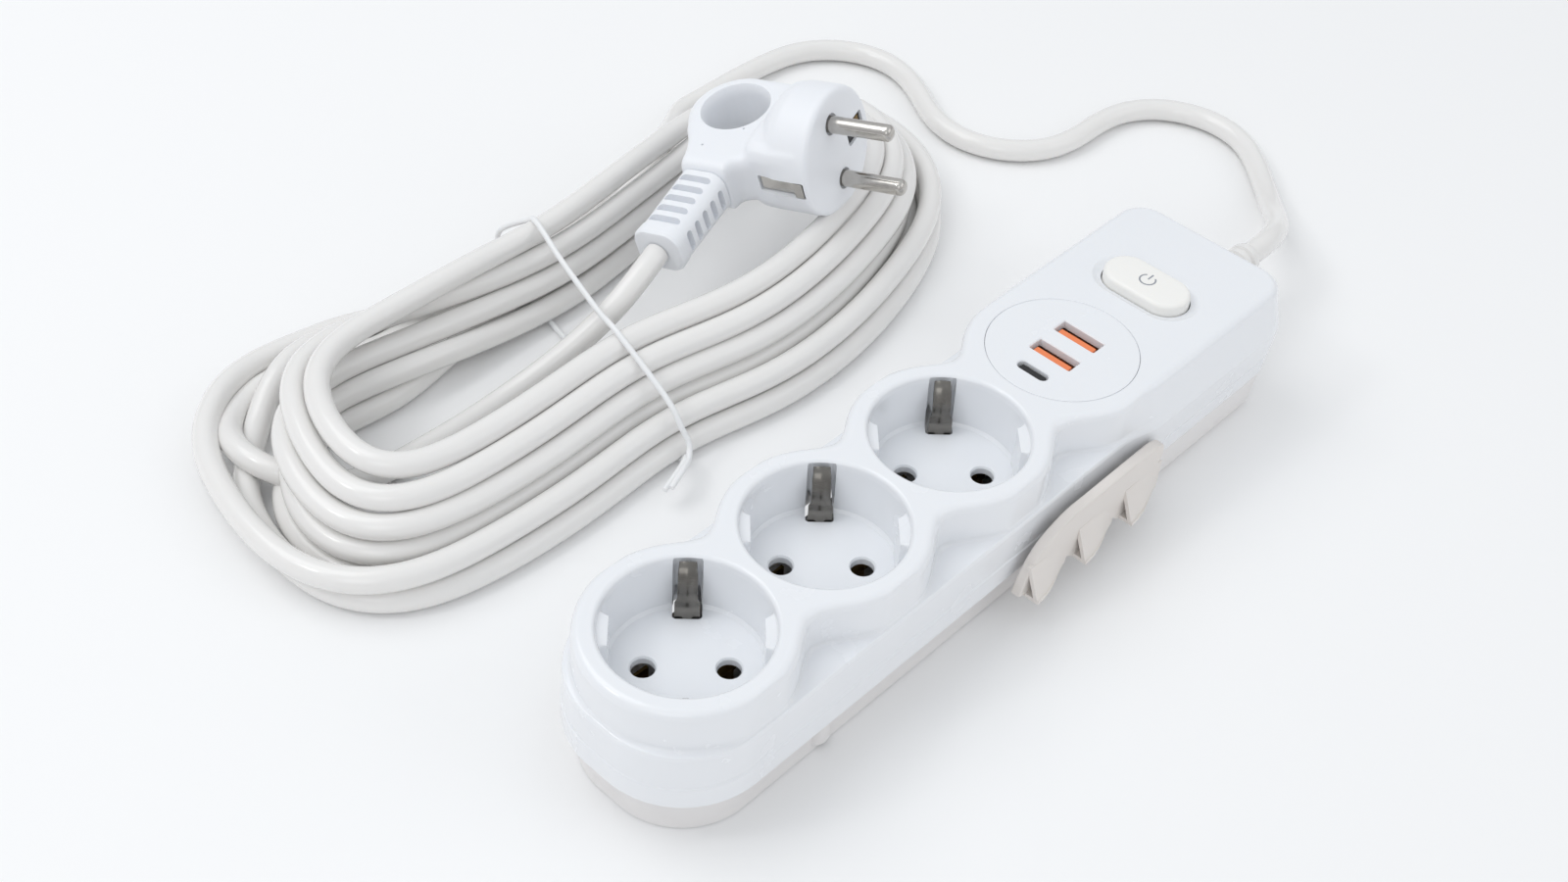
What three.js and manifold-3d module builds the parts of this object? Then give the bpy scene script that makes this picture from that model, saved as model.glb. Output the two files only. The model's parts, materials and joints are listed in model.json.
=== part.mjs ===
// Three-way extension lead with USB ports, a push switch and a coiled cord.
// Millimetres, +Z up. The origin is the centre of the strip's base, +X points to the cord end.
import * as THREE from 'three';
import { mergeVertices } from 'three/addons/utils/BufferGeometryUtils.js';
import Module from 'manifold-3d';

const wasm = await Module();
wasm.setup();

// ---- driving dimensions -------------------------------------------------
const GAP = 0.3;                    // air between pieces that touch
const CUT = 1;                      // how far a cutter runs past the face it cuts

const SOCKET_COUNT = 3;
const SOCKET_PITCH = 43.7;          // socket to socket, and last socket to the USB disc
const NEAR_MARGIN = 28.4;           // near end to the first socket's centre
const BUTTON_SPACING = 35.5;        // USB disc centre to the button's centre
const FAR_MARGIN = 33.6;            // button centre to the cord end

const STRIP_WIDTH = 55.6;
const STRIP_HEIGHT = 40;
const TRAY_HEIGHT = 12;             // height of the split between tray and top shell
const DECK_HEIGHT = 11.5;           // the raised deck above the ledge
const DECK_WIDTH = 50;
const NECK_WIDTH = 34;              // deck width between two sockets
const NEAR_RADIUS = 24.5;           // plan corner radius at the near end
const FAR_RADIUS = 11;              // plan corner radius at the cord end
const SIDE_DRAFT = 1.5;             // inset of the shell's lower edge
const TRAY_DRAFT = 1;               // further inset of the base
const DECK_DRAFT = 2.8;             // inset of the deck's top edge beside the switch
const EDGE_CHAMFER = 1.6;
const WALL = 2.2;
const RING_SIDES = 36;              // facets round a socket or the USB disc
const TRAY_FLOOR = 2.4;

const RECESS_RADIUS = 19.6;         // socket recess at the rim
const RECESS_FLOOR_RADIUS = 18.2;
const RECESS_DEPTH = 14.6;
const RIM_RADIUS = 25;              // raised deck ring round each socket
const CUP_WALL = 1.7;
const PIN_SPACING = 19;
const PIN_RADIUS = 2.4;
const PIN_LENGTH = 19;
const PIN_HOLE_RADIUS = 2.8;
const PIN_LINE_ANGLE = -Math.PI / 4;
const GUIDE_RIB_WIDTH = 9.4;
const GUIDE_RIB_REACH = 17;         // centre to the flat of a guide rib

const CLIP_WIDTH = 5.5;
const CLIP_THICKNESS = 0.8;
const CLIP_SLOT_WIDTH = 6.8;
const BAR_THICKNESS = 0.8;
const BAR_WIDTH = 6.4;
const LEAF_LENGTH = 8;

const USB_DISC_RADIUS = 19.5;
const USB_PLATE_THICKNESS = 2.4;
const USB_A_SIZE = [4.7, 12.6];     // slot size along X and Y
const USB_A_OFFSETS = [0.354 * USB_DISC_RADIUS, -0.159 * USB_DISC_RADIUS];  // slot centres from the disc's centre
const USB_C_SIZE = [3, 9];
const USB_C_OFFSET = -0.61 * USB_DISC_RADIUS;
const PORT_WALL = 0.4;
const PORT_HEIGHT = 12.4;
const BOARD_SIZE = [38, 34, 1.6];

const BUTTON_LENGTH = 25;
const BUTTON_WIDTH = 13.2;
const BUTTON_PROUD = 2.6;
const BUTTON_CLEARANCE = 0.35;
const BUTTON_TRAVEL = 2;
const STEM_RADIUS = 3;
const SWITCH_SIZE = [12, 20, 12];
const SPRING_WIRE = 0.7;
const SPRING_TURNS = 4;

const CASE_SCREW_RADIUS = 1.45;
const CASE_SCREW_LENGTH = 19;
const BOSS_RADIUS = 3.6;

const CORD_DIAMETER = 6.8;
const CORD_HEIGHT = 21;             // cord centre above the base where it leaves the strip
const CORD_SIDES = 10;
const RELIEF_LENGTH = 21;

const PLUG_FACE_RADIUS = 18.3;
const PLUG_COLLAR_DEPTH = 14;
const PLUG_HANDLE_THICKNESS = 16;
const PLUG_AXIS_BACK = 30;          // face to the cord's axis inside the plug
const RING_RADIUS = 14.6;
const RING_HOLE_RADIUS = 9.3;
const PLUG_RELIEF_LENGTH = 27;
const PLUG_RELIEF_SIZE = [14.5, 13];

const COIL_LENGTH = 252;
const COIL_WIDTH = 112;
const COIL_HEIGHT = 29;
const COIL_BAND = 30;               // width of the bundle of turns
const COIL_CENTRE = [-3, 117.5];
const TIE_RADIUS = 0.8;

// ---- derived places -----------------------------------------------------
const CORE_LENGTH = SOCKET_COUNT * SOCKET_PITCH + BUTTON_SPACING;
const STRIP_LENGTH = NEAR_MARGIN + CORE_LENGTH + FAR_MARGIN;
const NEAR_X = -STRIP_LENGTH / 2;
const FAR_X = STRIP_LENGTH / 2;
const HALF_WIDTH = STRIP_WIDTH / 2;
const LEDGE_Z = STRIP_HEIGHT - DECK_HEIGHT;
const RECESS_FLOOR_Z = STRIP_HEIGHT - RECESS_DEPTH;
const CUP_BOTTOM_Z = RECESS_FLOOR_Z - WALL;
const CUP_RADIUS = RECESS_RADIUS + CUP_WALL;
const socketX = [...Array(SOCKET_COUNT).keys()].map((i) => NEAR_X + NEAR_MARGIN + i * SOCKET_PITCH);
const USB_X = NEAR_X + NEAR_MARGIN + SOCKET_COUNT * SOCKET_PITCH;
const BUTTON_X = USB_X + BUTTON_SPACING;
const PIN_REACH = PIN_SPACING / 2;
const PIN_OFFSET = new THREE.Vector2(PIN_REACH * Math.cos(PIN_LINE_ANGLE), PIN_REACH * Math.sin(PIN_LINE_ANGLE));
const BAR_Z = RECESS_FLOOR_Z - PIN_LENGTH - GAP - BAR_THICKNESS;
const CLIP_BAR_Z = CUP_BOTTOM_Z - GAP - CLIP_THICKNESS;
const EARTH_BAR_Z = CLIP_BAR_Z - GAP - BAR_THICKNESS;
const LEAF_TOP_Z = EARTH_BAR_Z - 1;
const PLATE_Z = STRIP_HEIGHT - USB_PLATE_THICKNESS;
const PORT_Z = PLATE_Z - GAP - PORT_HEIGHT;
const BOARD_Z = PORT_Z - GAP - BOARD_SIZE[2];
const BOSS_X = [
  (socketX[0] + socketX[1]) / 2,
  (socketX[SOCKET_COUNT - 1] + USB_X) / 2,
  FAR_X - FAR_RADIUS - 1,
];
const BOSS_Y = HALF_WIDTH - SIDE_DRAFT - WALL - BOSS_RADIUS - 0.9;
const SWITCH_TOP_Z = STRIP_HEIGHT - 10.4;
const SWITCH_BOTTOM_Z = SWITCH_TOP_Z - SWITCH_SIZE[2];
const SWITCH_WALL = 1.4;
const CONTACT_Z = SWITCH_BOTTOM_Z + 3;
const BRIDGE_THICKNESS = 1;
const BRIDGE_TRAVEL = 0.85 * BUTTON_TRAVEL;
const BRIDGE_Z = CONTACT_Z + GAP + BRIDGE_TRAVEL;
const STEM_BOTTOM_Z = BRIDGE_Z + BRIDGE_THICKNESS + 0.8;
const CAP_Z = STRIP_HEIGHT - 8;
const COLLAR_Z = STRIP_HEIGHT - 6;
const CORD_RADIUS = CORD_DIAMETER / 2;

// ---- materials ----------------------------------------------------------
const finish = (color, roughness, metalness = 0) => new THREE.MeshStandardMaterial({ color, roughness, metalness });
const shellWhite = finish('#f3f5f6', 0.25);
const trayWhite = finish('#e4e0dc', 0.4);
const buttonWhite = finish('#f8f5ee', 0.35);
const combWhite = finish('#d9d2ca', 0.45);
const plugWhite = finish('#eef0f4', 0.4);
const cordWhite = finish('#e6e2de', 0.3);
const usbOrange = finish('#e8502a', 0.5);
const darkPlastic = finish('#222326', 0.6);
const boardGreen = finish('#1f5f3a', 0.6);
const brass = finish('#c39b4a', 0.35, 1);
const nickel = finish('#b9b6b0', 0.25, 1);
const darkNickel = finish('#4b4845', 0.3, 1);
const steel = finish('#a8abad', 0.3, 1);
const wireBrown = finish('#6b3f22', 0.5);
const wireBlue = finish('#2b4f9e', 0.5);
const wireGreen = finish('#7aa52f', 0.5);
const amber = finish('#c9892a', 0.5);

// ---- shape helpers ------------------------------------------------------
function solid(geometry) {
  const bare = geometry.index ? geometry.toNonIndexed() : geometry.clone();
  bare.deleteAttribute('normal');
  bare.deleteAttribute('uv');
  const merged = mergeVertices(bare, 1e-4);
  const vertProperties = new Float32Array(merged.attributes.position.array);
  const triVerts = new Uint32Array(merged.index.array);
  return new wasm.Manifold(new wasm.Mesh({ numProp: 3, vertProperties, triVerts }));
}

function toGeometry(body) {
  const data = body.getMesh();
  const geometry = new THREE.BufferGeometry();
  geometry.setAttribute('position', new THREE.BufferAttribute(data.vertProperties, 3));
  geometry.setIndex(new THREE.BufferAttribute(data.triVerts, 1));
  return geometry;
}

const join = (bodies) => bodies.reduce((all, body) => all.add(body));
const cut = (body, cutters) => body.subtract(join(cutters));

function box(low, high) {
  const geometry = new THREE.BoxGeometry(high[0] - low[0], high[1] - low[1], high[2] - low[2]);
  return solid(geometry.translate((low[0] + high[0]) / 2, (low[1] + high[1]) / 2, (low[2] + high[2]) / 2));
}

// An upright round bar or cone from z0 to z1.
function post(x, y, z0, z1, r0, r1 = r0, sides = 24) {
  const geometry = new THREE.CylinderGeometry(r1, r0, z1 - z0, sides);
  return solid(geometry.rotateX(Math.PI / 2).translate(x, y, (z0 + z1) / 2));
}

function extrude(shape, z0, z1, steps = 1, curveSegments = 12) {
  const geometry = new THREE.ExtrudeGeometry(shape, { depth: z1 - z0, bevelEnabled: false, steps, curveSegments });
  return geometry.translate(0, 0, z0);
}

function roundedOutline(x0, x1, half, r0, r1) {
  const shape = new THREE.Shape();
  shape.absarc(x1 - r1, half - r1, r1, 0, Math.PI / 2);
  shape.absarc(x0 + r0, half - r0, r0, Math.PI / 2, Math.PI);
  shape.absarc(x0 + r0, r0 - half, r0, Math.PI, 1.5 * Math.PI);
  shape.absarc(x1 - r1, r1 - half, r1, 1.5 * Math.PI, 2 * Math.PI);
  shape.closePath();
  return shape;
}

function pillOutline(length, width) {
  return roundedOutline(-width / 2, width / 2, length / 2, width / 2, width / 2);
}

// Pulls a straight extrusion in by inset(z) on every side of a plan of the given half sizes.
function draft(geometry, centreX, halfX, halfY, inset) {
  const place = geometry.attributes.position;
  for (let i = 0; i < place.count; i += 1) {
    const pull = inset(place.getZ(i));
    place.setX(i, centreX + (place.getX(i) - centreX) * (1 - pull / halfX));
    place.setY(i, place.getY(i) * (1 - pull / halfY));
  }
  return geometry;
}

function stripSlab(z0, z1, wall, inset) {
  const outline = roundedOutline(
    NEAR_X + wall, FAR_X - wall, HALF_WIDTH - wall, NEAR_RADIUS - wall, FAR_RADIUS - wall);
  const slab = extrude(outline, z0, z1, 1, 4);
  return solid(draft(slab, 0, STRIP_LENGTH / 2 - wall, HALF_WIDTH - wall, inset));
}

// A strip of even thickness bent along a line of points, as a flat outline.
function ribbonOutline(points, thickness) {
  const path = points.map(([x, y]) => new THREE.Vector2(x, y));
  const sides = [1, -1].map((side) => path.map((point, i) => {
    const before = path[Math.max(i - 1, 0)];
    const after = path[Math.min(i + 1, path.length - 1)];
    const along = after.clone().sub(before).normalize();
    return new THREE.Vector2(point.x - side * along.y * thickness / 2, point.y + side * along.x * thickness / 2);
  }));
  return new THREE.Shape([...sides[0], ...sides[1].reverse()]);
}

// A round tube along a smooth line through the points.
function tube(points, radius, sides, steps) {
  const path = new THREE.CatmullRomCurve3(points.map((p) => new THREE.Vector3(...p)), false, 'centripetal');
  const section = new THREE.Shape();
  section.absarc(0, 0, radius, 0, 2 * Math.PI);
  const shape = new THREE.Shape(section.getSpacedPoints(sides).slice(0, sides));
  return new THREE.ExtrudeGeometry(shape, { extrudePath: path, steps, bevelEnabled: false });
}

const strip = new THREE.Group();
const assembly = new THREE.Group();
assembly.add(strip);

function add(name, body, material, parent = strip) {
  const geometry = body instanceof THREE.BufferGeometry ? body : toGeometry(body);
  const mesh = new THREE.Mesh(geometry, material);
  mesh.name = name;
  parent.add(mesh);
  return mesh;
}

// ---- strip: shells ------------------------------------------------------
const shellInset = (z) => SIDE_DRAFT * (LEDGE_Z - z) / (LEDGE_Z - TRAY_HEIGHT);
const trayInset = (z) => SIDE_DRAFT + TRAY_DRAFT * (TRAY_HEIGHT - z) / TRAY_HEIGHT;

// The raised deck: a ring round each socket and the USB disc, necks between, and a straight end.
function deckBlock(z0, z1, top0, top1) {
  const rings = [...socketX, USB_X].map((x) => post(x, 0, z0, z1, RIM_RADIUS - top0, RIM_RADIUS - top1, RING_SIDES));
  const neck = NECK_WIDTH / 2;
  const necks = box([socketX[0], top1 - neck, z0], [USB_X, neck - top1, z1]);
  const endLength = FAR_X - USB_X;
  const half = DECK_WIDTH / 2 + DECK_DRAFT;
  const endInset = (z) => DECK_DRAFT * (z - LEDGE_Z) / DECK_HEIGHT + (z > z0 ? top1 : Math.max(top0, 0));
  const end = extrude(roundedOutline(USB_X - endLength, FAR_X, half, FAR_RADIUS, FAR_RADIUS - 2), z0, z1, 1, 3);
  const drafted = solid(draft(end, USB_X, endLength, half, endInset));
  return join([...rings, necks, drafted.subtract(box([NEAR_X, -STRIP_WIDTH, z0 - CUT], [USB_X, STRIP_WIDTH, z1 + CUT]))]);
}

function switchPill(grow, z0, z1) {
  const outline = pillOutline(BUTTON_LENGTH + 2 * grow, BUTTON_WIDTH + 2 * grow);
  return solid(extrude(outline, z0, z1, 1, 3)).translate([BUTTON_X, 0, 0]);
}

const polar = (x, radius, angle) => [x + radius * Math.cos(angle), radius * Math.sin(angle)];
const CLIP_ANGLE = PIN_LINE_ANGLE + Math.PI / 2;

// A box that lies along a direction through a socket's centre.
function radialBox(x, angle, r0, r1, width, z0, z1) {
  return box([r0, -width / 2, z0], [r1, width / 2, z1]).rotate([0, 0, THREE.MathUtils.radToDeg(angle)])
    .translate([x, 0, 0]);
}

function socketCutters(x) {
  const recess = post(x, 0, RECESS_FLOOR_Z, STRIP_HEIGHT + CUT, RECESS_FLOOR_RADIUS, RECESS_RADIUS + 0.1, RING_SIDES);
  const ribs = [0, Math.PI].map((turn) => radialBox(
    x, PIN_LINE_ANGLE + turn, GUIDE_RIB_REACH, RECESS_RADIUS + CUT, GUIDE_RIB_WIDTH, RECESS_FLOOR_Z, STRIP_HEIGHT - 1.2));
  const pinHoles = [1, -1].map((side) => post(
    x + side * PIN_OFFSET.x, side * PIN_OFFSET.y, CUP_BOTTOM_Z - CUT, RECESS_FLOOR_Z + CUT, PIN_HOLE_RADIUS));
  const clipSlots = [0, Math.PI].map((turn) => radialBox(
    x, CLIP_ANGLE + turn, RECESS_FLOOR_RADIUS - 5, CUP_RADIUS - 0.7, CLIP_SLOT_WIDTH, CUP_BOTTOM_Z - CUT, STRIP_HEIGHT - 0.6));
  return [cut(recess, ribs), ...pinHoles, ...clipSlots];
}

const COMB_PEG_X = [10, 42];
const COMB_PEG_Z = 20;
const COMB_PEG_RADIUS = 1.8;
const sideAt = (z) => HALF_WIDTH - shellInset(z);

function pegHole(x, grow) {
  const geometry = new THREE.CylinderGeometry(COMB_PEG_RADIUS + grow, COMB_PEG_RADIUS + grow, 8, 16);
  return solid(geometry.translate(x, -sideAt(COMB_PEG_Z), COMB_PEG_Z));
}

function topShell() {
  const skirt = stripSlab(TRAY_HEIGHT + GAP, LEDGE_Z, 0, shellInset);
  const deckWall = deckBlock(LEDGE_Z, STRIP_HEIGHT - EDGE_CHAMFER, -0.9, 0);
  const deckEdge = deckBlock(STRIP_HEIGHT - EDGE_CHAMFER, STRIP_HEIGHT, 0, EDGE_CHAMFER);
  const outside = join([skirt, deckWall, deckEdge]);

  const hollowLow = stripSlab(TRAY_HEIGHT - CUT, LEDGE_Z - WALL, WALL, shellInset);
  const hollowHigh = deckBlock(LEDGE_Z - 2 * WALL, STRIP_HEIGHT - WALL, WALL - 0.5, WALL + 0.4);
  const cups = socketX.map((x) => post(x, 0, CUP_BOTTOM_Z, STRIP_HEIGHT, CUP_RADIUS - 0.7, CUP_RADIUS, RING_SIDES));
  const usbRim = post(USB_X, 0, PLATE_Z - WALL, STRIP_HEIGHT, USB_DISC_RADIUS + 2, USB_DISC_RADIUS + 2, RING_SIDES);
  const buttonCollar = switchPill(BUTTON_CLEARANCE + 1.4, COLLAR_Z, STRIP_HEIGHT);
  const bosses = BOSS_X.flatMap((x) => [1, -1].map((side) => post(
    x, side * BOSS_Y, TRAY_HEIGHT + GAP, STRIP_HEIGHT - WALL, BOSS_RADIUS, BOSS_RADIUS, 16)));
  const hollow = cut(join([hollowLow, hollowHigh]), [...cups, usbRim, buttonCollar, ...bosses]);

  const pilots = BOSS_X.flatMap((x) => [1, -1].map((side) => post(
    x, side * BOSS_Y, TRAY_HEIGHT - CUT, TRAY_HEIGHT + CASE_SCREW_LENGTH - 7,
    CASE_SCREW_RADIUS + GAP, CASE_SCREW_RADIUS + GAP, 12)));
  const usbSeat = post(USB_X, 0, PLATE_Z - GAP, STRIP_HEIGHT + CUT, USB_DISC_RADIUS + 0.2, USB_DISC_RADIUS + 0.2, RING_SIDES);
  const usbWell = post(USB_X, 0, PLATE_Z - WALL - CUT, STRIP_HEIGHT, USB_DISC_RADIUS - 2, USB_DISC_RADIUS - 2, RING_SIDES);
  const cordHole = solid(new THREE.CylinderGeometry(5.4, 5.4, 12, 24).rotateZ(Math.PI / 2)
    .translate(FAR_X - 2, 0, CORD_HEIGHT));
  return cut(outside, [
    hollow, ...socketX.flatMap(socketCutters), ...pilots, usbSeat, usbWell,
    switchPill(BUTTON_CLEARANCE, COLLAR_Z - CUT, STRIP_HEIGHT + CUT),
    cordHole, ...COMB_PEG_X.map((x) => pegHole(x, GAP)),
  ]);
}

function bottomTray() {
  const chamfer = 2.4;
  const foot = stripSlab(0, chamfer, 0, (z) => trayInset(z) + 0.8 * (chamfer - z));
  const wall = stripSlab(chamfer, TRAY_HEIGHT, 0, trayInset);
  const hollow = stripSlab(TRAY_FLOOR, TRAY_HEIGHT + CUT, WALL, trayInset);
  const bosses = BOSS_X.flatMap((x) => [1, -1].map((side) => post(
    x, side * BOSS_Y, TRAY_FLOOR - 1, TRAY_HEIGHT, BOSS_RADIUS + 0.4, BOSS_RADIUS, 16)));
  const screwHoles = BOSS_X.flatMap((x) => [1, -1].flatMap((side) => [
    post(x, side * BOSS_Y, 3, TRAY_HEIGHT + CUT, CASE_SCREW_RADIUS + 0.4, CASE_SCREW_RADIUS + 0.4, 12),
    post(x, side * BOSS_Y, -CUT, 4, 3.1, 3.1, 16),
  ]));
  const barRests = [PIN_OFFSET.y, -PIN_OFFSET.y].flatMap((y) => socketX.map((x) => box(
    [x - 2, y - BAR_WIDTH / 2, TRAY_FLOOR - 1], [x + 2, y + BAR_WIDTH / 2, BAR_Z - GAP])));
  const boardPosts = [1, -1].flatMap((side) => [-12, 12].map((dx) => post(
    USB_X + dx, side * 15, TRAY_FLOOR - 1, BOARD_Z - GAP, 1.6, 1.6, 12)));
  const switchPosts = [1, -1].map((side) => box(
    [BUTTON_X - 2, side * 9.1 - 0.9, TRAY_FLOOR - 1], [BUTTON_X + 2, side * 9.1 + 0.9, SWITCH_BOTTOM_Z - GAP]));
  const saddle = box([SADDLE_X - 3, -11, TRAY_FLOOR - 1], [SADDLE_X + 3, 11, CORD_HEIGHT - CORD_RADIUS - GAP]);
  const body = join([cut(join([foot, wall]), [hollow]), ...bosses, ...barRests, ...boardPosts, ...switchPosts, saddle]);
  const saddleBores = [1, -1].map((side) => post(SADDLE_X, side * 7.6, 9, STRIP_HEIGHT, 1.6, 1.6, 12));
  return cut(body, [...screwHoles, ...saddleBores]);
}

// ---- strip: current-carrying parts --------------------------------------
const BAR_START = socketX[0] - PIN_OFFSET.x - LEAF_LENGTH;
const BAR_END = (socketX[SOCKET_COUNT - 1] + USB_X) / 2 + 2;

// One pole: a flat bar with a pair of leaves that grips each pin.
function poleBar(side) {
  const y = side * PIN_OFFSET.y;
  const half = BAR_WIDTH / 2;
  const base = box([BAR_START, y - half, BAR_Z], [BAR_END, y + half, BAR_Z + BAR_THICKNESS]);
  const leaves = socketX.flatMap((x) => [1, -1].map((leaf) => {
    const inner = y + leaf * PIN_RADIUS;
    const outer = y + leaf * (PIN_RADIUS + BAR_THICKNESS);
    const pinX = x + side * PIN_OFFSET.x;
    return box(
      [pinX - LEAF_LENGTH / 2, Math.min(inner, outer), BAR_Z],
      [pinX + LEAF_LENGTH / 2, Math.max(inner, outer), LEAF_TOP_Z]);
  }));
  const tab = box([BAR_END - 4, y - half, BAR_Z], [BAR_END, y + half, BAR_Z + 4]);
  return join([base, ...leaves, tab]);
}

// The earth clip: a sprung strip bent up through the recess floor on both sides of a socket.
function earthClip(x) {
  const lowR = RECESS_FLOOR_RADIUS - 3.4;
  const half = [
    [0, CLIP_BAR_Z + CLIP_THICKNESS / 2],
    [lowR - 0.6, CLIP_BAR_Z + CLIP_THICKNESS / 2],
    [lowR, RECESS_FLOOR_Z - 1.4],
    [lowR + 0.4, RECESS_FLOOR_Z + 3],
    [lowR + 0.8, RECESS_FLOOR_Z + 6],
    [lowR + 2.4, STRIP_HEIGHT - 4.5],
    [lowR + 3.4, STRIP_HEIGHT - 1.2],
  ];
  const left = half.slice(1).reverse().map(([r, z]) => [-r, z]);
  const profile = ribbonOutline([...left, ...half], CLIP_THICKNESS);
  const strap = extrude(profile, -CLIP_WIDTH / 2, CLIP_WIDTH / 2);
  return strap.rotateX(Math.PI / 2).rotateZ(CLIP_ANGLE).translate(x, 0, 0);
}

function earthBar() {
  const start = socketX[0] - 6;
  const base = box([start, -2.6, EARTH_BAR_Z], [BAR_END, 2.6, EARTH_BAR_Z + BAR_THICKNESS]);
  const tab = box([BAR_END - 4, -2.6, EARTH_BAR_Z - 3], [BAR_END, 2.6, EARTH_BAR_Z + BAR_THICKNESS]);
  return base.add(tab);
}

// ---- strip: USB charger -------------------------------------------------
function usbPlate() {
  const disc = post(USB_X, 0, PLATE_Z, STRIP_HEIGHT, USB_DISC_RADIUS, USB_DISC_RADIUS, RING_SIDES);
  const slots = USB_A_OFFSETS.map((dx) => box(
    [USB_X + dx - USB_A_SIZE[0] / 2, -USB_A_SIZE[1] / 2, PLATE_Z - CUT],
    [USB_X + dx + USB_A_SIZE[0] / 2, USB_A_SIZE[1] / 2, STRIP_HEIGHT + CUT]));
  const pill = solid(extrude(pillOutline(USB_C_SIZE[1], USB_C_SIZE[0]), PLATE_Z - CUT, STRIP_HEIGHT + CUT, 1, 3))
    .translate([USB_X + USB_C_OFFSET, 0, 0]);
  return cut(disc, [...slots, pill]);
}

function portShell(dx, size) {
  const [w, l] = [size[0] / 2 + PORT_WALL, size[1] / 2 + PORT_WALL];
  const outer = box([USB_X + dx - w, -l, PORT_Z], [USB_X + dx + w, l, PLATE_Z - GAP]);
  const inner = box(
    [USB_X + dx - size[0] / 2, -size[1] / 2, PORT_Z + PORT_WALL],
    [USB_X + dx + size[0] / 2, size[1] / 2, PLATE_Z + CUT]);
  return outer.subtract(inner);
}

function portTongue(dx, size, thickness, shift) {
  const x = USB_X + dx + shift;
  const l = size[1] / 2 - 0.8;
  return box([x - thickness / 2, -l, PORT_Z + PORT_WALL + GAP], [x + thickness / 2, l, PLATE_Z - 1.2]);
}

function board() {
  return box(
    [USB_X - BOARD_SIZE[0] / 2, -BOARD_SIZE[1] / 2, BOARD_Z],
    [USB_X + BOARD_SIZE[0] / 2, BOARD_SIZE[1] / 2, BOARD_Z + BOARD_SIZE[2]]);
}

// ---- strip: switch ------------------------------------------------------
function powerButton() {
  const top = STRIP_HEIGHT + BUTTON_PROUD;
  const outline = pillOutline(BUTTON_LENGTH, BUTTON_WIDTH);
  const skirt = solid(extrude(outline, CAP_Z, top - 1, 1, 3));
  const flangeOutline = pillOutline(BUTTON_LENGTH + 1.8, BUTTON_WIDTH + 1.8);
  const flange = solid(extrude(flangeOutline, CAP_Z, COLLAR_Z - GAP, 1, 3));
  const crown = extrude(outline, top - 1, top, 1, 3);
  const inset = (z) => (z > top - 0.5 ? 1 : 0);
  const cap = solid(draft(crown, 0, BUTTON_WIDTH / 2, BUTTON_LENGTH / 2, inset));
  const hollow = solid(extrude(pillOutline(BUTTON_LENGTH - 3, BUTTON_WIDTH - 3), CAP_Z - CUT, top - 2, 1, 3));
  const stem = post(0, 0, STEM_BOTTOM_Z, top - 1.5, STEM_RADIUS, STEM_RADIUS, 16);
  return join([cut(join([skirt, flange, cap]), [hollow]), stem]);
}

function switchBody() {
  const [sx, sy] = [SWITCH_SIZE[0] / 2, SWITCH_SIZE[1] / 2];
  const outer = box([BUTTON_X - sx, -sy, SWITCH_BOTTOM_Z], [BUTTON_X + sx, sy, SWITCH_TOP_Z]);
  const well = box(
    [BUTTON_X - sx + SWITCH_WALL, SWITCH_WALL - sy, SWITCH_BOTTOM_Z + SWITCH_WALL],
    [BUTTON_X + sx - SWITCH_WALL, sy - SWITCH_WALL, SWITCH_TOP_Z - SWITCH_WALL]);
  const bore = post(BUTTON_X, 0, SWITCH_BOTTOM_Z + 2, SWITCH_TOP_Z + CUT, STEM_RADIUS + 0.4, STEM_RADIUS + 0.4, 16);
  const tabSlots = [1, -1].map((side) => box(
    [BUTTON_X - 2.6, side * 6 - 0.9, SWITCH_BOTTOM_Z - CUT], [BUTTON_X + 2.6, side * 6 + 0.9, CONTACT_Z]));
  return cut(outer, [well, bore, ...tabSlots]);
}

function switchTerminal(side) {
  const y = side * 6;
  return box([BUTTON_X - 2.3, y - 0.5, SWITCH_BOTTOM_Z - 7], [BUTTON_X + 2.3, y + 0.5, CONTACT_Z]);
}

function switchBridge() {
  return box([BUTTON_X - 2.3, -7.6, BRIDGE_Z], [BUTTON_X + 2.3, 7.6, BRIDGE_Z + BRIDGE_THICKNESS]);
}

function buttonSpring() {
  const z0 = SWITCH_TOP_Z + GAP + SPRING_WIRE / 2;
  const z1 = STRIP_HEIGHT + BUTTON_PROUD - 2 - GAP - SPRING_WIRE / 2;
  const radius = STEM_RADIUS + 0.9;
  const perTurn = 10;
  const points = [...Array(SPRING_TURNS * perTurn + 1).keys()].map((i) => {
    const turn = 2 * Math.PI * i / perTurn;
    const z = THREE.MathUtils.lerp(z0, z1, i / (SPRING_TURNS * perTurn));
    return [BUTTON_X + radius * Math.cos(turn), radius * Math.sin(turn), z];
  });
  return tube(points, SPRING_WIRE / 2, 6, SPRING_TURNS * 12);
}

// ---- strip: cord entry --------------------------------------------------
const SADDLE_X = FAR_X - 19;
const TAIL_END_X = SADDLE_X - 3.8;
const RELIEF_END_X = FAR_X + RELIEF_LENGTH;

function lathedAlongX(profile, sides) {
  const points = profile.map(([r, x]) => new THREE.Vector2(r, x));
  return new THREE.LatheGeometry(points, sides).rotateZ(-Math.PI / 2);
}

function cordRelief() {
  const inside = FAR_X - WALL - SIDE_DRAFT - 3.4;
  const profile = [
    [0, inside], [7, inside], [7, inside + 2], [5, inside + 2], [5, FAR_X + GAP], [5.6, FAR_X + GAP],
    [5.6, FAR_X + 2], [CORD_RADIUS + 0.6, RELIEF_END_X], [0, RELIEF_END_X],
  ];
  return lathedAlongX(profile, 20).translate(0, 0, CORD_HEIGHT);
}

function cordTail() {
  const inside = FAR_X - WALL - SIDE_DRAFT - 3.4 - GAP;
  return tube([[inside, 0, CORD_HEIGHT], [SADDLE_X, 0, CORD_HEIGHT], [TAIL_END_X, 0, CORD_HEIGHT]], CORD_RADIUS, 12, 2);
}

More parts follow.
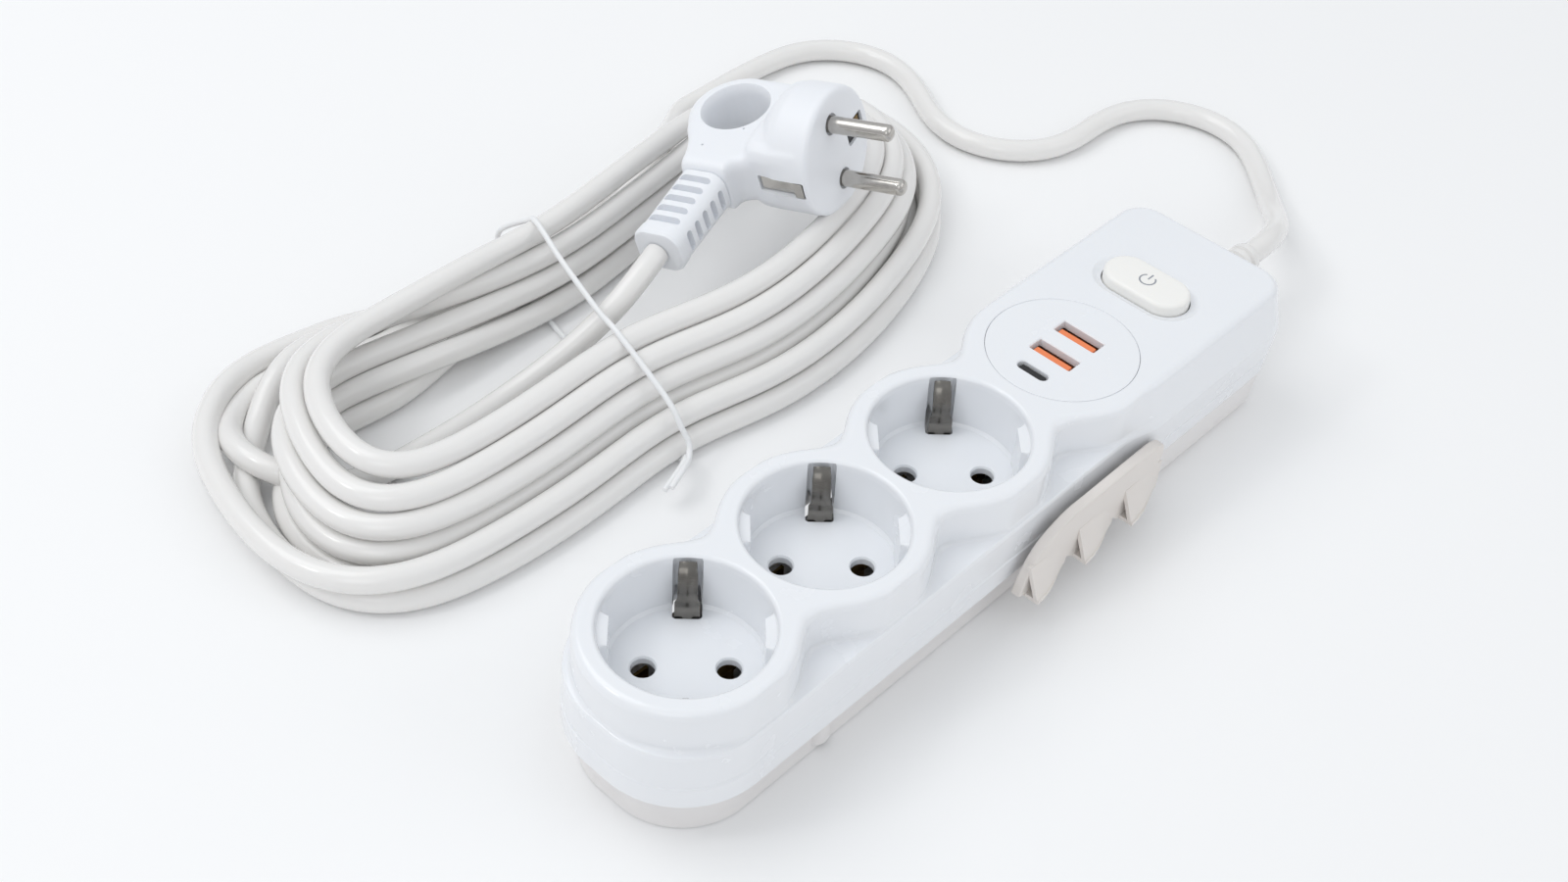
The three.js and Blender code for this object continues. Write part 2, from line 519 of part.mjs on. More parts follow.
function cordClamp() {
  const z0 = CORD_HEIGHT + CORD_RADIUS + GAP;
  const bar = box([SADDLE_X - 3, -10.5, z0], [SADDLE_X + 3, 10.5, z0 + 3]);
  return cut(bar, [1, -1].map((side) => post(SADDLE_X, side * 7.6, z0 - CUT, z0 + 4, 1.6, 1.6, 12)));
}

// A pan-head screw that points down from headZ.
function screw(x, y, headZ, length, radius, headRadius, down) {
  const profile = [[0, 0], [headRadius, 0], [headRadius, 1.8], [radius, 1.8], [radius, length - 1], [0, length]];
  const points = profile.map(([r, z]) => new THREE.Vector2(r, down ? -z : z));
  const ordered = down ? points.reverse() : points;
  return new THREE.LatheGeometry(ordered, 12).rotateX(Math.PI / 2).translate(x, y, headZ);
}

// ---- strip: cable comb --------------------------------------------------
const COMB_START = -4;
const COMB_LENGTH = 56;
const COMB_TOP = 25.5;
const COMB_BOTTOM = 8;
const COMB_THICKNESS = 2.4;
const COMB_HOOKS = [2.5, 21.5, 40.5];
const COMB_REACH = 5.2;

function cableComb() {
  const back = -HALF_WIDTH - 0.7;
  const front = back - COMB_THICKNESS;
  const side = new THREE.Shape();
  side.moveTo(COMB_START, COMB_BOTTOM + 2);
  side.quadraticCurveTo(COMB_START + 5, COMB_TOP - 2, COMB_START + 18, COMB_TOP);
  side.lineTo(COMB_START + COMB_LENGTH - 3, COMB_TOP);
  side.quadraticCurveTo(COMB_START + COMB_LENGTH, COMB_TOP, COMB_START + COMB_LENGTH, COMB_TOP - 3);
  side.lineTo(COMB_START + COMB_LENGTH - 2, COMB_BOTTOM + 8);
  side.lineTo(COMB_START + COMB_LENGTH - 8, COMB_BOTTOM + 5);
  side.lineTo(COMB_START + 8, COMB_BOTTOM);
  side.closePath();
  const plate = solid(extrude(side, 0, COMB_THICKNESS).rotateX(Math.PI / 2)).translate([0, front + COMB_THICKNESS, 0]);
  const hooks = COMB_HOOKS.map((dx) => {
    const x = COMB_START + dx;
    const plan = new THREE.Shape([
      new THREE.Vector2(x + 14, front + 1), new THREE.Vector2(x + 3, front - COMB_REACH),
      new THREE.Vector2(x, front - COMB_REACH), new THREE.Vector2(x + 0.4, front - COMB_REACH + 1.8),
      new THREE.Vector2(x + 8.5, front + 1),
    ]);
    return solid(extrude(plan, COMB_BOTTOM + 1, COMB_BOTTOM + 9));
  });
  const pegs = COMB_PEG_X.map((x) => {
    const geometry = new THREE.CylinderGeometry(COMB_PEG_RADIUS, COMB_PEG_RADIUS, 5, 12);
    return solid(geometry.translate(x, back + 2, COMB_PEG_Z));
  });
  return join([plate, ...hooks, ...pegs]);
}

// ---- plug ---------------------------------------------------------------
// Plug frame: +X along the pins, +Y from pin to pin, +Z the way the cord leaves.
const plug = new THREE.Group();
const PLUG_PLACE = [61.2, 91.7, 44.1];
const PLUG_AXES = [
  new THREE.Vector3(0.235, -0.948, 0.215).normalize(),
  new THREE.Vector3(-0.217, 0.165, 0.962),
];
const plugZ = PLUG_AXES[0].clone().cross(PLUG_AXES[1]).normalize();
const plugY = plugZ.clone().cross(PLUG_AXES[0]);
plug.setRotationFromMatrix(new THREE.Matrix4().makeBasis(PLUG_AXES[0], plugY, plugZ));
plug.position.set(...PLUG_PLACE);
assembly.add(plug);

const RING_CENTRE = [-33, -3];
const PLUG_RELIEF_START = 23;

function plugBody() {
  const collarGeometry = new THREE.CylinderGeometry(
    PLUG_FACE_RADIUS, PLUG_FACE_RADIUS, PLUG_COLLAR_DEPTH, 40);
  const collar = solid(collarGeometry.rotateZ(Math.PI / 2).translate(-PLUG_COLLAR_DEPTH / 2, 0, 0));
  const taperGeometry = new THREE.CylinderGeometry(PLUG_FACE_RADIUS - 0.6, PLUG_HANDLE_THICKNESS / 2, 12, 40);
  const taper = solid(taperGeometry.rotateZ(-Math.PI / 2).translate(-PLUG_COLLAR_DEPTH - 5.9, 0, 0));

  const plan = new THREE.Shape();
  plan.moveTo(-PLUG_COLLAR_DEPTH + 2, -PLUG_FACE_RADIUS + 2);
  plan.lineTo(-PLUG_COLLAR_DEPTH + 2, PLUG_FACE_RADIUS - 1);
  plan.quadraticCurveTo(-PLUG_COLLAR_DEPTH - 7, PLUG_FACE_RADIUS, -PLUG_AXIS_BACK + 7.5, PLUG_RELIEF_START - GAP);
  plan.lineTo(-PLUG_AXIS_BACK - 7.5, PLUG_RELIEF_START - GAP);
  plan.quadraticCurveTo(-PLUG_AXIS_BACK - 7.5, 14, RING_CENTRE[0] - 12, 6);
  plan.absarc(RING_CENTRE[0], RING_CENTRE[1], RING_RADIUS, 0.8 * Math.PI, 1.5 * Math.PI);
  plan.closePath();
  const half = PLUG_HANDLE_THICKNESS / 2;
  const handle = solid(extrude(plan, -half, half, 1, 10).rotateX(Math.PI / 2));
  const body = join([collar, taper, handle]);

  const alongPins = (y, z, radius, depth) => {
    const geometry = new THREE.CylinderGeometry(radius, radius, depth + CUT, 16);
    return solid(geometry.rotateZ(Math.PI / 2).translate((CUT - depth) / 2, y, z));
  };
  const ringHole = solid(new THREE.CylinderGeometry(RING_HOLE_RADIUS, RING_HOLE_RADIUS, 40, 32)
    .translate(RING_CENTRE[0], 0, RING_CENTRE[1]));
  const pinBores = [1, -1].map((side) => alongPins(side * PIN_REACH, 0, PIN_RADIUS + GAP, 11));
  const earthHole = alongPins(0, -10, 3.6, 13);
  const grooves = [1, -1].map((side) => box(
    [-17, -4, side > 0 ? PLUG_FACE_RADIUS - 2.6 : -PLUG_FACE_RADIUS - CUT],
    [CUT, 4, side > 0 ? PLUG_FACE_RADIUS + CUT : 2.6 - PLUG_FACE_RADIUS]));
  return cut(body, [ringHole, ...pinBores, earthHole, ...grooves]);
}

function plugPin(side) {
  const inside = -11 + GAP;
  const profile = [
    [0, inside], [PIN_RADIUS, inside], [PIN_RADIUS, PIN_LENGTH - 1.6], [PIN_RADIUS - 0.7, PIN_LENGTH - 0.4], [0, PIN_LENGTH],
  ];
  return lathedAlongX(profile, 16).translate(0, side * PIN_REACH, 0);
}

function plugContact(side) {
  const low = PLUG_FACE_RADIUS - 2.6 + GAP;
  const z = [side * low, side * (low + 1)];
  return box([-16.5, -2.5, Math.min(...z)], [-1, 2.5, Math.max(...z)]);
}

function plugRelief() {
  const [w, t] = [PLUG_RELIEF_SIZE[0] / 2, PLUG_RELIEF_SIZE[1] / 2];
  const outline = roundedOutline(-PLUG_AXIS_BACK - w, -PLUG_AXIS_BACK + w, t, 4, 4);
  const sleeve = solid(extrude(outline, PLUG_RELIEF_START, PLUG_RELIEF_START + PLUG_RELIEF_LENGTH, 1, 4));
  const slots = [...Array(5).keys()].flatMap((i) => [1, -1].flatMap((side) => {
    const z = PLUG_RELIEF_START + 3.4 + i * 4.2;
    const outer = side > 0 ? [t - 1.6, t + CUT] : [-t - CUT, 1.6 - t];
    const wide = side > 0 ? [w - 1.6, w + CUT] : [-w - CUT, 1.6 - w];
    return [
      box([-PLUG_AXIS_BACK - 4.6, outer[0], z], [-PLUG_AXIS_BACK + 4.6, outer[1], z + 1.9]),
      box([wide[0] - PLUG_AXIS_BACK, -3.8, z], [wide[1] - PLUG_AXIS_BACK, 3.8, z + 1.9]),
    ];
  }));
  return cut(sleeve, slots);
}

// ---- cord ---------------------------------------------------------------
// The cord's route from the strip to the coil, and from the coil to the plug.
const RUN_POINTS = [
  [RELIEF_END_X + GAP, 0, CORD_HEIGHT], [145, 0.3, 20.3], [156.5, 3.4, 16.8], [168, 9.4, 11.4],
  [179, 17.4, 6.9], [189.7, 26.4, 4.3], [199.6, 36.4, 3.5], [205.4, 45.2, 3.5], [207.5, 55.5, 3.5],
  [205.4, 65.8, 3.5], [199.6, 74.6, 3.5], [190.8, 80.4, 3.5], [180.5, 82.5, 3.5], [167, 82.5, 3.5],
  [156.5, 84.6, 3.5], [147.6, 90.6, 3.5], [141.6, 99.5, 3.5], [139.5, 110, 3.5], [141.8, 120.5, 3.5],
  [147, 130, 3.5], [152, 139.5, 3.5], [154.5, 150, 3.5], [152.4, 160.5, 3.5], [146.4, 169.4, 3.5],
  [137.5, 175.4, 3.5], [127, 177.8, 3.5], [112, 178.4, 3.5], [98, 178, 3.5], [84, 177.3, 3.5],
];
const LEAD_POINTS = [
  [-9, 103.6, 23.8], [-20, 105.2, 16.8], [-31, 108.2, 10.2], [-42, 110.6, 5.8], [-54, 111.4, 3.9],
  [-68, 111.6, 3.5], [-83, 112.5, 3.5],
];
const coilInnerEnd = COIL_CENTRE[0] - COIL_LENGTH / 2 + COIL_BAND;

function coilOutline(inset) {
  const half = COIL_WIDTH / 2 - inset;
  const x0 = COIL_CENTRE[0] - COIL_LENGTH / 2 + inset;
  const x1 = COIL_CENTRE[0] + COIL_LENGTH / 2 - inset;
  return roundedOutline(x0, x1, half, half - 0.1, half - 0.1);
}

function coil() {
  const slope = (z) => Math.max(0, 4 - z) + Math.max(0, z - 0.7 * COIL_HEIGHT);
  const halfX = COIL_LENGTH / 2;
  const halfY = COIL_WIDTH / 2;
  const outer = draft(extrude(coilOutline(0), 0, COIL_HEIGHT, 4, 5), COIL_CENTRE[0], halfX, halfY, slope);
  const inner = draft(
    extrude(coilOutline(COIL_BAND), 0, COIL_HEIGHT + CUT, 4, 5),
    COIL_CENTRE[0], halfX - COIL_BAND, halfY - COIL_BAND, (z) => -slope(z));
  const ring = solid(outer);
  const hole = solid(inner).add(solid(extrude(coilOutline(COIL_BAND + 1), -CUT, CUT, 1, 5)));
  const tieGroove = box([TIE_X - 2, -STRIP_WIDTH * 2, -CUT], [TIE_X + 2, STRIP_WIDTH * 2, 2 * TIE_RADIUS + GAP]);
  return cut(ring, [hole, tieGroove]).translate([0, COIL_CENTRE[1], 0]);
}

const TIE_X = -20;

// The wire tie: one loop right round the coil with its two ends twisted into a tail.
function wireTie() {
  const clear = TIE_RADIUS + GAP;
  const low = COIL_CENTRE[1] - COIL_WIDTH / 2 - clear;
  const high = COIL_CENTRE[1] + COIL_WIDTH / 2 + clear;
  const top = COIL_HEIGHT + clear;
  const bottom = TIE_RADIUS + 0.1;
  const points = [
    [TIE_X - 9, low - 7, 5], [TIE_X - 4, low - 4.4, 5.4], [TIE_X - 1, low - 2.6, 4], [TIE_X, low - 1, bottom + 0.5],
    [TIE_X, low + 3, bottom], [TIE_X, low + 8, bottom], [TIE_X, COIL_CENTRE[1], bottom],
    [TIE_X, high - 6, bottom], [TIE_X, high - 1, bottom], [TIE_X, high + 1, bottom + 2],
    [TIE_X, high + 0.6, top - 10], [TIE_X, high - 3, top - 4], [TIE_X, high - 8, top], [TIE_X, high - 14, top],
    [TIE_X, COIL_CENTRE[1], top], [TIE_X, low + 14, top], [TIE_X, low + 8, top], [TIE_X, low + 3, top - 4],
    [TIE_X, low - 0.6, top - 10], [TIE_X + 1.6, low - 1.4, 10], [TIE_X + 0.4, low - 4, 8.6], [TIE_X - 4, low - 7, 8.8],
  ];
  return tube(points, TIE_RADIUS, 6, 60);
}

// ---- assembly -----------------------------------------------------------
add('top_shell', topShell(), shellWhite);
add('bottom_tray', bottomTray(), trayWhite);
add('cable_comb', cableComb(), combWhite);
socketX.forEach((x, i) => add(`earth_clip_${i + 1}`, earthClip(x), darkNickel));
add('earth_bar', earthBar(), brass);
add('live_bar', poleBar(-1), brass);
add('neutral_bar', poleBar(1), brass);

add('usb_plate', usbPlate(), shellWhite);
USB_A_OFFSETS.forEach((dx, i) => {
  add(`usb_a_port_${i + 1}`, portShell(dx, USB_A_SIZE), nickel);
  add(`usb_a_tongue_${i + 1}`, portTongue(dx, USB_A_SIZE, 1.6, -0.9), usbOrange);
});
add('usb_c_port', portShell(USB_C_OFFSET, USB_C_SIZE), nickel);
add('usb_c_tongue', portTongue(USB_C_OFFSET, USB_C_SIZE, 0.8, 0), darkPlastic);
add('usb_board', board(), boardGreen);
const partsTop = BOARD_Z - GAP;
add('usb_transformer', box([USB_X - 12, -6, partsTop - 11], [USB_X + 2, 6, partsTop]), amber);
add('usb_capacitor', post(USB_X + 9, 0, partsTop - 10, partsTop, 4, 4, 16), darkPlastic);

const button = add('power_button', powerButton(), buttonWhite);
button.position.set(BUTTON_X, 0, 0);
add('button_spring', buttonSpring(), steel);
add('switch_body', switchBody(), darkPlastic);
add('switch_bridge', switchBridge(), brass);
add('switch_terminal_live', switchTerminal(-1), brass);
add('switch_terminal_load', switchTerminal(1), brass);

add('cord_relief', cordRelief(), cordWhite);
add('cord_tail', cordTail(), cordWhite);
add('cord_clamp', cordClamp(), trayWhite);
const clampTop = CORD_HEIGHT + CORD_RADIUS + GAP + 3;
[1, -1].forEach((side, i) => add(
  `clamp_screw_${i + 1}`, screw(SADDLE_X, side * 7.6, clampTop + GAP + 1.8, 14, 1.25, 2.6, true), steel));
BOSS_X.forEach((x, i) => [1, -1].forEach((side, j) => add(
  `case_screw_${2 * i + j + 1}`,
  screw(x, side * BOSS_Y, 1, CASE_SCREW_LENGTH, CASE_SCREW_RADIUS, 2.8, false), steel)));

// The three cores fan out of the cord's end and run in lanes under the USB board.
const coreRadius = 1.2;
const laneZ = TRAY_FLOOR + coreRadius + 2;
const fan = TAIL_END_X - GAP;
const bend = fan - 1.6;
const terminalZ = SWITCH_BOTTOM_Z - 7 - coreRadius - GAP;
const barTabX = BAR_END + GAP + coreRadius;
const tabWireTop = BAR_Z + 5.3;      // the cores end just above the bars' raised tabs
const core = (name, points, material) => add(name, tube(points, coreRadius, 6, 4 * points.length), material);
core('live_wire', [
  [fan, -1.65, CORD_HEIGHT - 0.95], [bend, -1.65, CORD_HEIGHT - 0.95], [BUTTON_X + 7.6, -3, (CORD_HEIGHT + terminalZ) / 2],
  [BUTTON_X + 4, -5.6, terminalZ], [BUTTON_X, -6, terminalZ], [BUTTON_X - 2, -6, terminalZ],
], wireBrown);
core('switched_wire', [
  [BUTTON_X + 1.5, 6, terminalZ], [BUTTON_X - 3, 6, terminalZ], [USB_X + 22, 7, laneZ + 0.5],
  [USB_X + 8, 8, laneZ], [USB_X - 12, 8, laneZ], [barTabX, -PIN_OFFSET.y, laneZ + 1], [barTabX, -PIN_OFFSET.y, tabWireTop],
], wireBrown);
core('neutral_wire', [
  [fan, 0, CORD_HEIGHT + 1.9], [bend, 0, CORD_HEIGHT + 1.9], [BUTTON_X + 8.1, -5.5, CORD_HEIGHT],
  [BUTTON_X + 7, -12.8, CORD_HEIGHT - 6], [BUTTON_X - 2, -13.2, laneZ + 1], [USB_X + 20, -10, laneZ],
  [USB_X - 12, -8, laneZ], [barTabX, PIN_OFFSET.y, laneZ + 1], [barTabX, PIN_OFFSET.y, tabWireTop],
], wireBlue);
core('earth_wire', [
  [fan, 1.65, CORD_HEIGHT - 0.95], [bend, 1.65, CORD_HEIGHT - 0.95], [BUTTON_X + 8.1, 6, CORD_HEIGHT - 4],
  [BUTTON_X + 7, 12.8, CORD_HEIGHT - 9], [BUTTON_X - 3, 14, laneZ + 1], [USB_X + 20, 11.5, laneZ],
  [USB_X + 3, 11.5, laneZ + 1], [USB_X - 17, 4, laneZ + 7], [barTabX, 0, EARTH_BAR_Z - 4], [barTabX, 0, EARTH_BAR_Z],
], wireGreen);

add('plug_body', plugBody(), plugWhite, plug);
add('plug_pin_1', plugPin(1), nickel, plug);
add('plug_pin_2', plugPin(-1), nickel, plug);
add('plug_earth_contact_1', plugContact(1), darkNickel, plug);
add('plug_earth_contact_2', plugContact(-1), darkNickel, plug);
add('plug_relief', plugRelief(), plugWhite, plug);

add('cord_run', tube(RUN_POINTS, CORD_RADIUS, CORD_SIDES, 28), cordWhite);
const leadEnd = [coilInnerEnd + 0.8, COIL_CENTRE[1] - 3, CORD_RADIUS + 0.1];
add('plug_lead', tube([...leadStart(), ...LEAD_POINTS, leadEnd], CORD_RADIUS, CORD_SIDES, 14), cordWhite);
add('cord_coil', coil(), cordWhite);
add('wire_tie', wireTie(), finish('#f4f4f2', 0.5));

// The lead starts square to the end face of the plug's strain relief.
function leadStart() {
  const near = new THREE.Vector3(-PLUG_AXIS_BACK, 0, PLUG_RELIEF_START + PLUG_RELIEF_LENGTH + GAP);
  const far = near.clone();
  far.z += 5;
  plug.updateMatrix();
  return [near, far].map((point) => point.applyMatrix4(plug.matrix).toArray());
}

export default assembly;
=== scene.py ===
"""Looks of a socket strip with USB ports, a push switch, a tied coil of cord and an angled plug."""
import json
import math

import bmesh
import bpy
import numpy as np
from bpy.props import FloatProperty, FloatVectorProperty, PointerProperty
from mathutils import Matrix, Vector


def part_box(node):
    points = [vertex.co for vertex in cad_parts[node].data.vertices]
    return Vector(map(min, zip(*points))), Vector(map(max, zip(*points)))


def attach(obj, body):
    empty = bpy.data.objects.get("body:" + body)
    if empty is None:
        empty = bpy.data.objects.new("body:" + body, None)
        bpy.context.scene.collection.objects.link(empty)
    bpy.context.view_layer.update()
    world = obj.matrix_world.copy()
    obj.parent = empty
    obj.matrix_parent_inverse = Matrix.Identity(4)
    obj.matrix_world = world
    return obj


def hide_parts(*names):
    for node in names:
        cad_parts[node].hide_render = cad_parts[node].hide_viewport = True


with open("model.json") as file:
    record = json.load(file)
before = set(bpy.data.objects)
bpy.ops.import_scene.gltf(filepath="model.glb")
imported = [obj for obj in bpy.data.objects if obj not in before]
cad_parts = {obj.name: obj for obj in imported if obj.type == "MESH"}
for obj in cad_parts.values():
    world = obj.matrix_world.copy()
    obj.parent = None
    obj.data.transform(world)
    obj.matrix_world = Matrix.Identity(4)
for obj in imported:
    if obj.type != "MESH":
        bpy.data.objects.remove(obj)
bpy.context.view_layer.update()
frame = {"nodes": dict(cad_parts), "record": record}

bl_info = {
    "name": "Socket strip with coiled cord",
    "version": (1, 0, 0),
    "blender": (4, 5, 0),
    "location": "View3D > Sidebar > Socket strip",
    "description": "Builds the pieces and finishes of a socket strip with its cord and plug",
    "category": "Add Mesh",
}

MM = 0.001                       # lengths below are millimetres unless they say metres

# ---- places, from the frame ---------------------------------------------
MOUNTS = {mount["name"]: mount for mount in frame["record"]["mounts"]}


def node_box(node):
    """Lowest and highest corner of a CAD node, in millimetres."""
    low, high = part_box(node)
    return np.array(low) / MM, np.array(high) / MM


SHELL_LOW, SHELL_HIGH = node_box("top_shell")
HALF_LENGTH = SHELL_HIGH[0]
HALF_WIDTH = SHELL_HIGH[1]
DECK_Z = SHELL_HIGH[2]
SHELL_BOTTOM = SHELL_LOW[2]
SOCKET_X = [MOUNTS[f"socket_{i}"]["pos_m"][0] / MM for i in (1, 2, 3)]
RECESS_FLOOR = MOUNTS["socket_1"]["pos_m"][2] / MM
PLATE_LOW, PLATE_HIGH = node_box("usb_plate")
USB_X = (PLATE_LOW[0] + PLATE_HIGH[0]) / 2
USB_RADIUS = (PLATE_HIGH[1] - PLATE_LOW[1]) / 2
BUTTON_LOW, BUTTON_HIGH = node_box("power_button")
BUTTON_X = (BUTTON_LOW[0] + BUTTON_HIGH[0]) / 2
SLOTS_X = {name: float(np.mean([box[0] for box in node_box(name)])) for name in
           ("usb_a_port_1", "usb_a_port_2", "usb_c_port")}

# ---- sizes of the strip -------------------------------------------------
NEAR_RADIUS = 24.5
FAR_RADIUS = 11
RIM_RADIUS = 25
NECK_HALF = 16
FILLET = 5                       # concave fillet between two deck rings
RECESS_RADIUS = 19.6
RECESS_FLOOR_RADIUS = 18.2
RIM_ROUND = 1.3
RIB_REACH = 17
RIB_HALF = 4.7
PIN_REACH = 9.5
PIN_HOLE = 2.8
PIN_LINE = -math.pi / 4
WALL = 2.2
BUTTON_SIZE = (13.2, 25)         # along the strip, across it
DISH_SIZE = (18, 31)
CORD_RADIUS = 3.4
CORD_HEIGHT = 21

# ---- the cord's route, uncoiled: the same points as the CAD model -------
RUN_POINTS = [
    (135.6, 0, 21), (145, 0.3, 20.3), (156.5, 3.4, 16.8), (168, 9.4, 11.4),
    (179, 17.4, 6.9), (189.7, 26.4, 4.3), (199.6, 36.4, 3.5), (205.4, 45.2, 3.5), (207.5, 55.5, 3.5),
    (205.4, 65.8, 3.5), (199.6, 74.6, 3.5), (190.8, 80.4, 3.5), (180.5, 82.5, 3.5), (167, 82.5, 3.5),
    (156.5, 84.6, 3.5), (147.6, 90.6, 3.5), (141.6, 99.5, 3.5), (139.5, 110, 3.5), (141.8, 120.5, 3.5),
    (147, 130, 3.5), (152, 139.5, 3.5), (154.5, 150, 3.5), (152.4, 160.5, 3.5), (146.4, 169.4, 3.5),
    (137.5, 175.4, 3.5), (127, 177.8, 3.5), (112, 178.4, 3.5), (98, 178, 3.5), (84, 177.3, 3.5),
]
LEAD_POINTS = [
    (-83, 112.5, 3.5), (-68, 111.6, 3.5), (-54, 111.4, 3.9), (-42, 110.6, 5.8), (-31, 108.2, 10.2),
    (-20, 105.2, 16.8), (-9, 103.6, 23.8), (1.7, 105, 28.4), (6.45, 106.4, 29.2),
]
# Where the last turn leaves the bundle and bends back inside it to the plug's lead.
TURN_BACK_POINTS = [(-83, 161.5, 3.5), (-97, 157, 3.5), (-105.5, 147, 3.5), (-107.5, 135, 3.5),
                    (-104, 123.5, 3.5), (-95, 115.5, 3.5)]

# ---- the coil -----------------------------------------------------------
# The outermost turn's centre line, anticlockwise from the far side.
COIL_OUTLINE = [
    (60, 170.5), (28, 166), (-4, 161.8), (-40, 165.6), (-72, 168.2), (-93, 162.5), (-109, 149),
    (-119.5, 130), (-123.2, 108), (-122, 92), (-116, 79.5), (-104, 71.5), (-88, 68.3), (-59, 66.8),
    (-21, 68.4), (7, 62.8), (35, 63), (60, 67.5), (89, 77.5), (108, 91.5), (118.5, 111), (120.6, 130),
    (113, 149), (98, 162), (80, 169),
]
# How far each place in the bundle lies in from the outermost line, and its height.
BUNDLE = {
    "far": [(19.5, 23), (24, 17), (26.5, 10.6), (28.5, 3.4), (14.4, 3.4),
            (21.4, 3.4), (17.5, 9.8), (7.4, 3.4)],
    "far_left": [(29, 24.5), (22.5, 20.5), (30, 15), (36, 9.6), (41, 3.4),
                 (1, 3.4), (8, 3.4), (15, 3.4)],
    "left": [(27, 27.5), (20.5, 22), (15.5, 16.2), (12.6, 10), (11.6, 3.4),
             (0.5, 9.2), (4.6, 3.4), (19, 3.4)],
    "near": [(21, 24.8), (15, 21), (11.2, 15.6), (10.2, 9.5), (7, 3.4),
             (3.2, 9.4), (0.2, 3.4), (14, 3.4)],
    "right": [(19, 24), (13, 20.8), (9.5, 15.2), (11.2, 9.3), (10, 3.4),
              (0.6, 9.2), (3.2, 3.4), (17, 3.4)],
}
# Share of a turn, from the far side round to the far side again, at which each layout holds.
STATIONS = [(0.0, "far"), (0.11, "far"), (0.21, "far_left"), (0.35, "left"), (0.47, "near"), (0.72, "near"),
            (0.86, "right")]
PLACES = (7, 6, 1, 2, 3, 4, 5, 8)          # the places that the cord fills, turn by turn, from the strip
LAST_SHARE = 0.2                            # the last turn leaves the bundle this far round
STEP = 5.0                                  # spacing of the points along the cord
BUNDLE_SMOOTHING = 14
NEIGHBOURS = 4                              # points this close along the cord don't push each other
STRAND_GAP = 0.12
STIFFNESS = 0.35                            # share of a bend that a round of settling takes away
PULL_BACK = 0.02
PUSH_SHARE = 0.4
SETTLING_ROUNDS = 160
EASING_ROUNDS = 30
TIE_X = -20
TIE_SLANT = 12                              # how much further along the strip the far side is tied


def resampled(points, step):
    """Points evenly spaced along a smooth line through the given ones."""
    points = np.asarray(points, float)
    ends = np.vstack([2 * points[0] - points[1], points, 2 * points[-1] - points[-2]])
    fine = []
    t = np.linspace(0, 1, 24, endpoint=False)[:, None]
    for a, b, c, d in zip(ends, ends[1:], ends[2:], ends[3:]):
        fine.append(0.5 * (2 * b + (c - a) * t + (2 * a - 5 * b + 4 * c - d) * t ** 2
                           + (3 * b - a - 3 * c + d) * t ** 3))
    fine = np.vstack([*fine, points[-1:]])
    along = np.concatenate([[0], np.cumsum(np.linalg.norm(np.diff(fine, axis=0), axis=1))])
    marks = np.linspace(0, along[-1], max(2, round(along[-1] / step) + 1))
    return np.stack([np.interp(marks, along, fine[:, k]) for k in range(fine.shape[1])], axis=1)


def smoothed(values, passes):
    """Values evened out along the line, with both ends held."""
    values = values.copy()
    for _ in range(passes):
        values[1:-1] = (values[:-2] + 2 * values[1:-1] + values[2:]) / 4
    return values


def coil_turns():
    """The coiled stretch: turn after turn round the outline, each in its own place in the bundle."""
    reach = 6                                               # outline points either side, for its direction
    outline = resampled([*COIL_OUTLINE, COIL_OUTLINE[0]], 1.0)[:-1]
    count = len(outline)
    total = (len(PLACES) - 1 + LAST_SHARE) * count
    marks = np.arange(0, total, STEP)
    turn = marks / count
    keys = []
    for k, place in enumerate(PLACES):
        for share, layout in STATIONS:
            keys.append((k + share, *BUNDLE[layout][place - 1]))
    keys = np.array(keys)
    inward = smoothed(np.interp(turn, keys[:, 0], keys[:, 1]), BUNDLE_SMOOTHING)
    height = smoothed(np.interp(turn, keys[:, 0], keys[:, 2]), BUNDLE_SMOOTHING)
    where = marks.astype(int) % count
    along = np.roll(outline, -reach, axis=0) - np.roll(outline, reach, axis=0)
    along /= np.linalg.norm(along, axis=1)[:, None]
    normal = np.stack([-along[:, 1], along[:, 0]], axis=1)
    flat = outline[where] + normal[where] * inward[:, None]
    return np.column_stack([flat, height])


def straightened(place):
    """Where each inner point would lie on the smoothest line through its neighbours."""
    return (4 * (place[1:-3] + place[3:-1]) - place[:-4] - place[4:]) / 6


def settled(points, held, rounds):
    """Pushes the strands a diameter apart, keeps them above the floor and evens out their bends."""
    place = points.copy()
    index = np.arange(len(place))
    apart = np.abs(index[:, None] - index[None, :]) > NEIGHBOURS
    gap = 2 * CORD_RADIUS + STRAND_GAP
    for _ in range(rounds):
        place[2:-2] += STIFFNESS * (straightened(place) - place[2:-2])
        place += PULL_BACK * (points - place)
        offset = place[:, None, :] - place[None, :, :]
        distance = np.sqrt((offset ** 2).sum(2)) + 1e-6
        push = np.where(apart & (distance < gap), (gap - distance) * PUSH_SHARE, 0) / distance
        place += (offset * push[:, :, None]).sum(1)
        place[:, 2] = np.maximum(place[:, 2], CORD_RADIUS)
        place[held] = points[held]
    for _ in range(EASING_ROUNDS):
        place[2:-2] += 0.5 * (straightened(place) - place[2:-2])
        place[held] = points[held]
    return place


def cord_route():
    """The whole cord from the strip's relief to the plug's, as points in millimetres."""
    run = resampled(RUN_POINTS, STEP)
    turns = coil_turns()
    back = resampled([*TURN_BACK_POINTS, *LEAD_POINTS], STEP)
    bridge = resampled([run[-2], run[-1], turns[4], turns[5]], STEP)[1:-1]
    route = resampled(np.vstack([run[:-1], bridge, turns[5:], back]), STEP)
    held = np.ones(len(route), bool)
    held[len(run) + 2:-len(resampled(LEAD_POINTS, STEP))] = False
    return settled(route, held, SETTLING_ROUNDS)


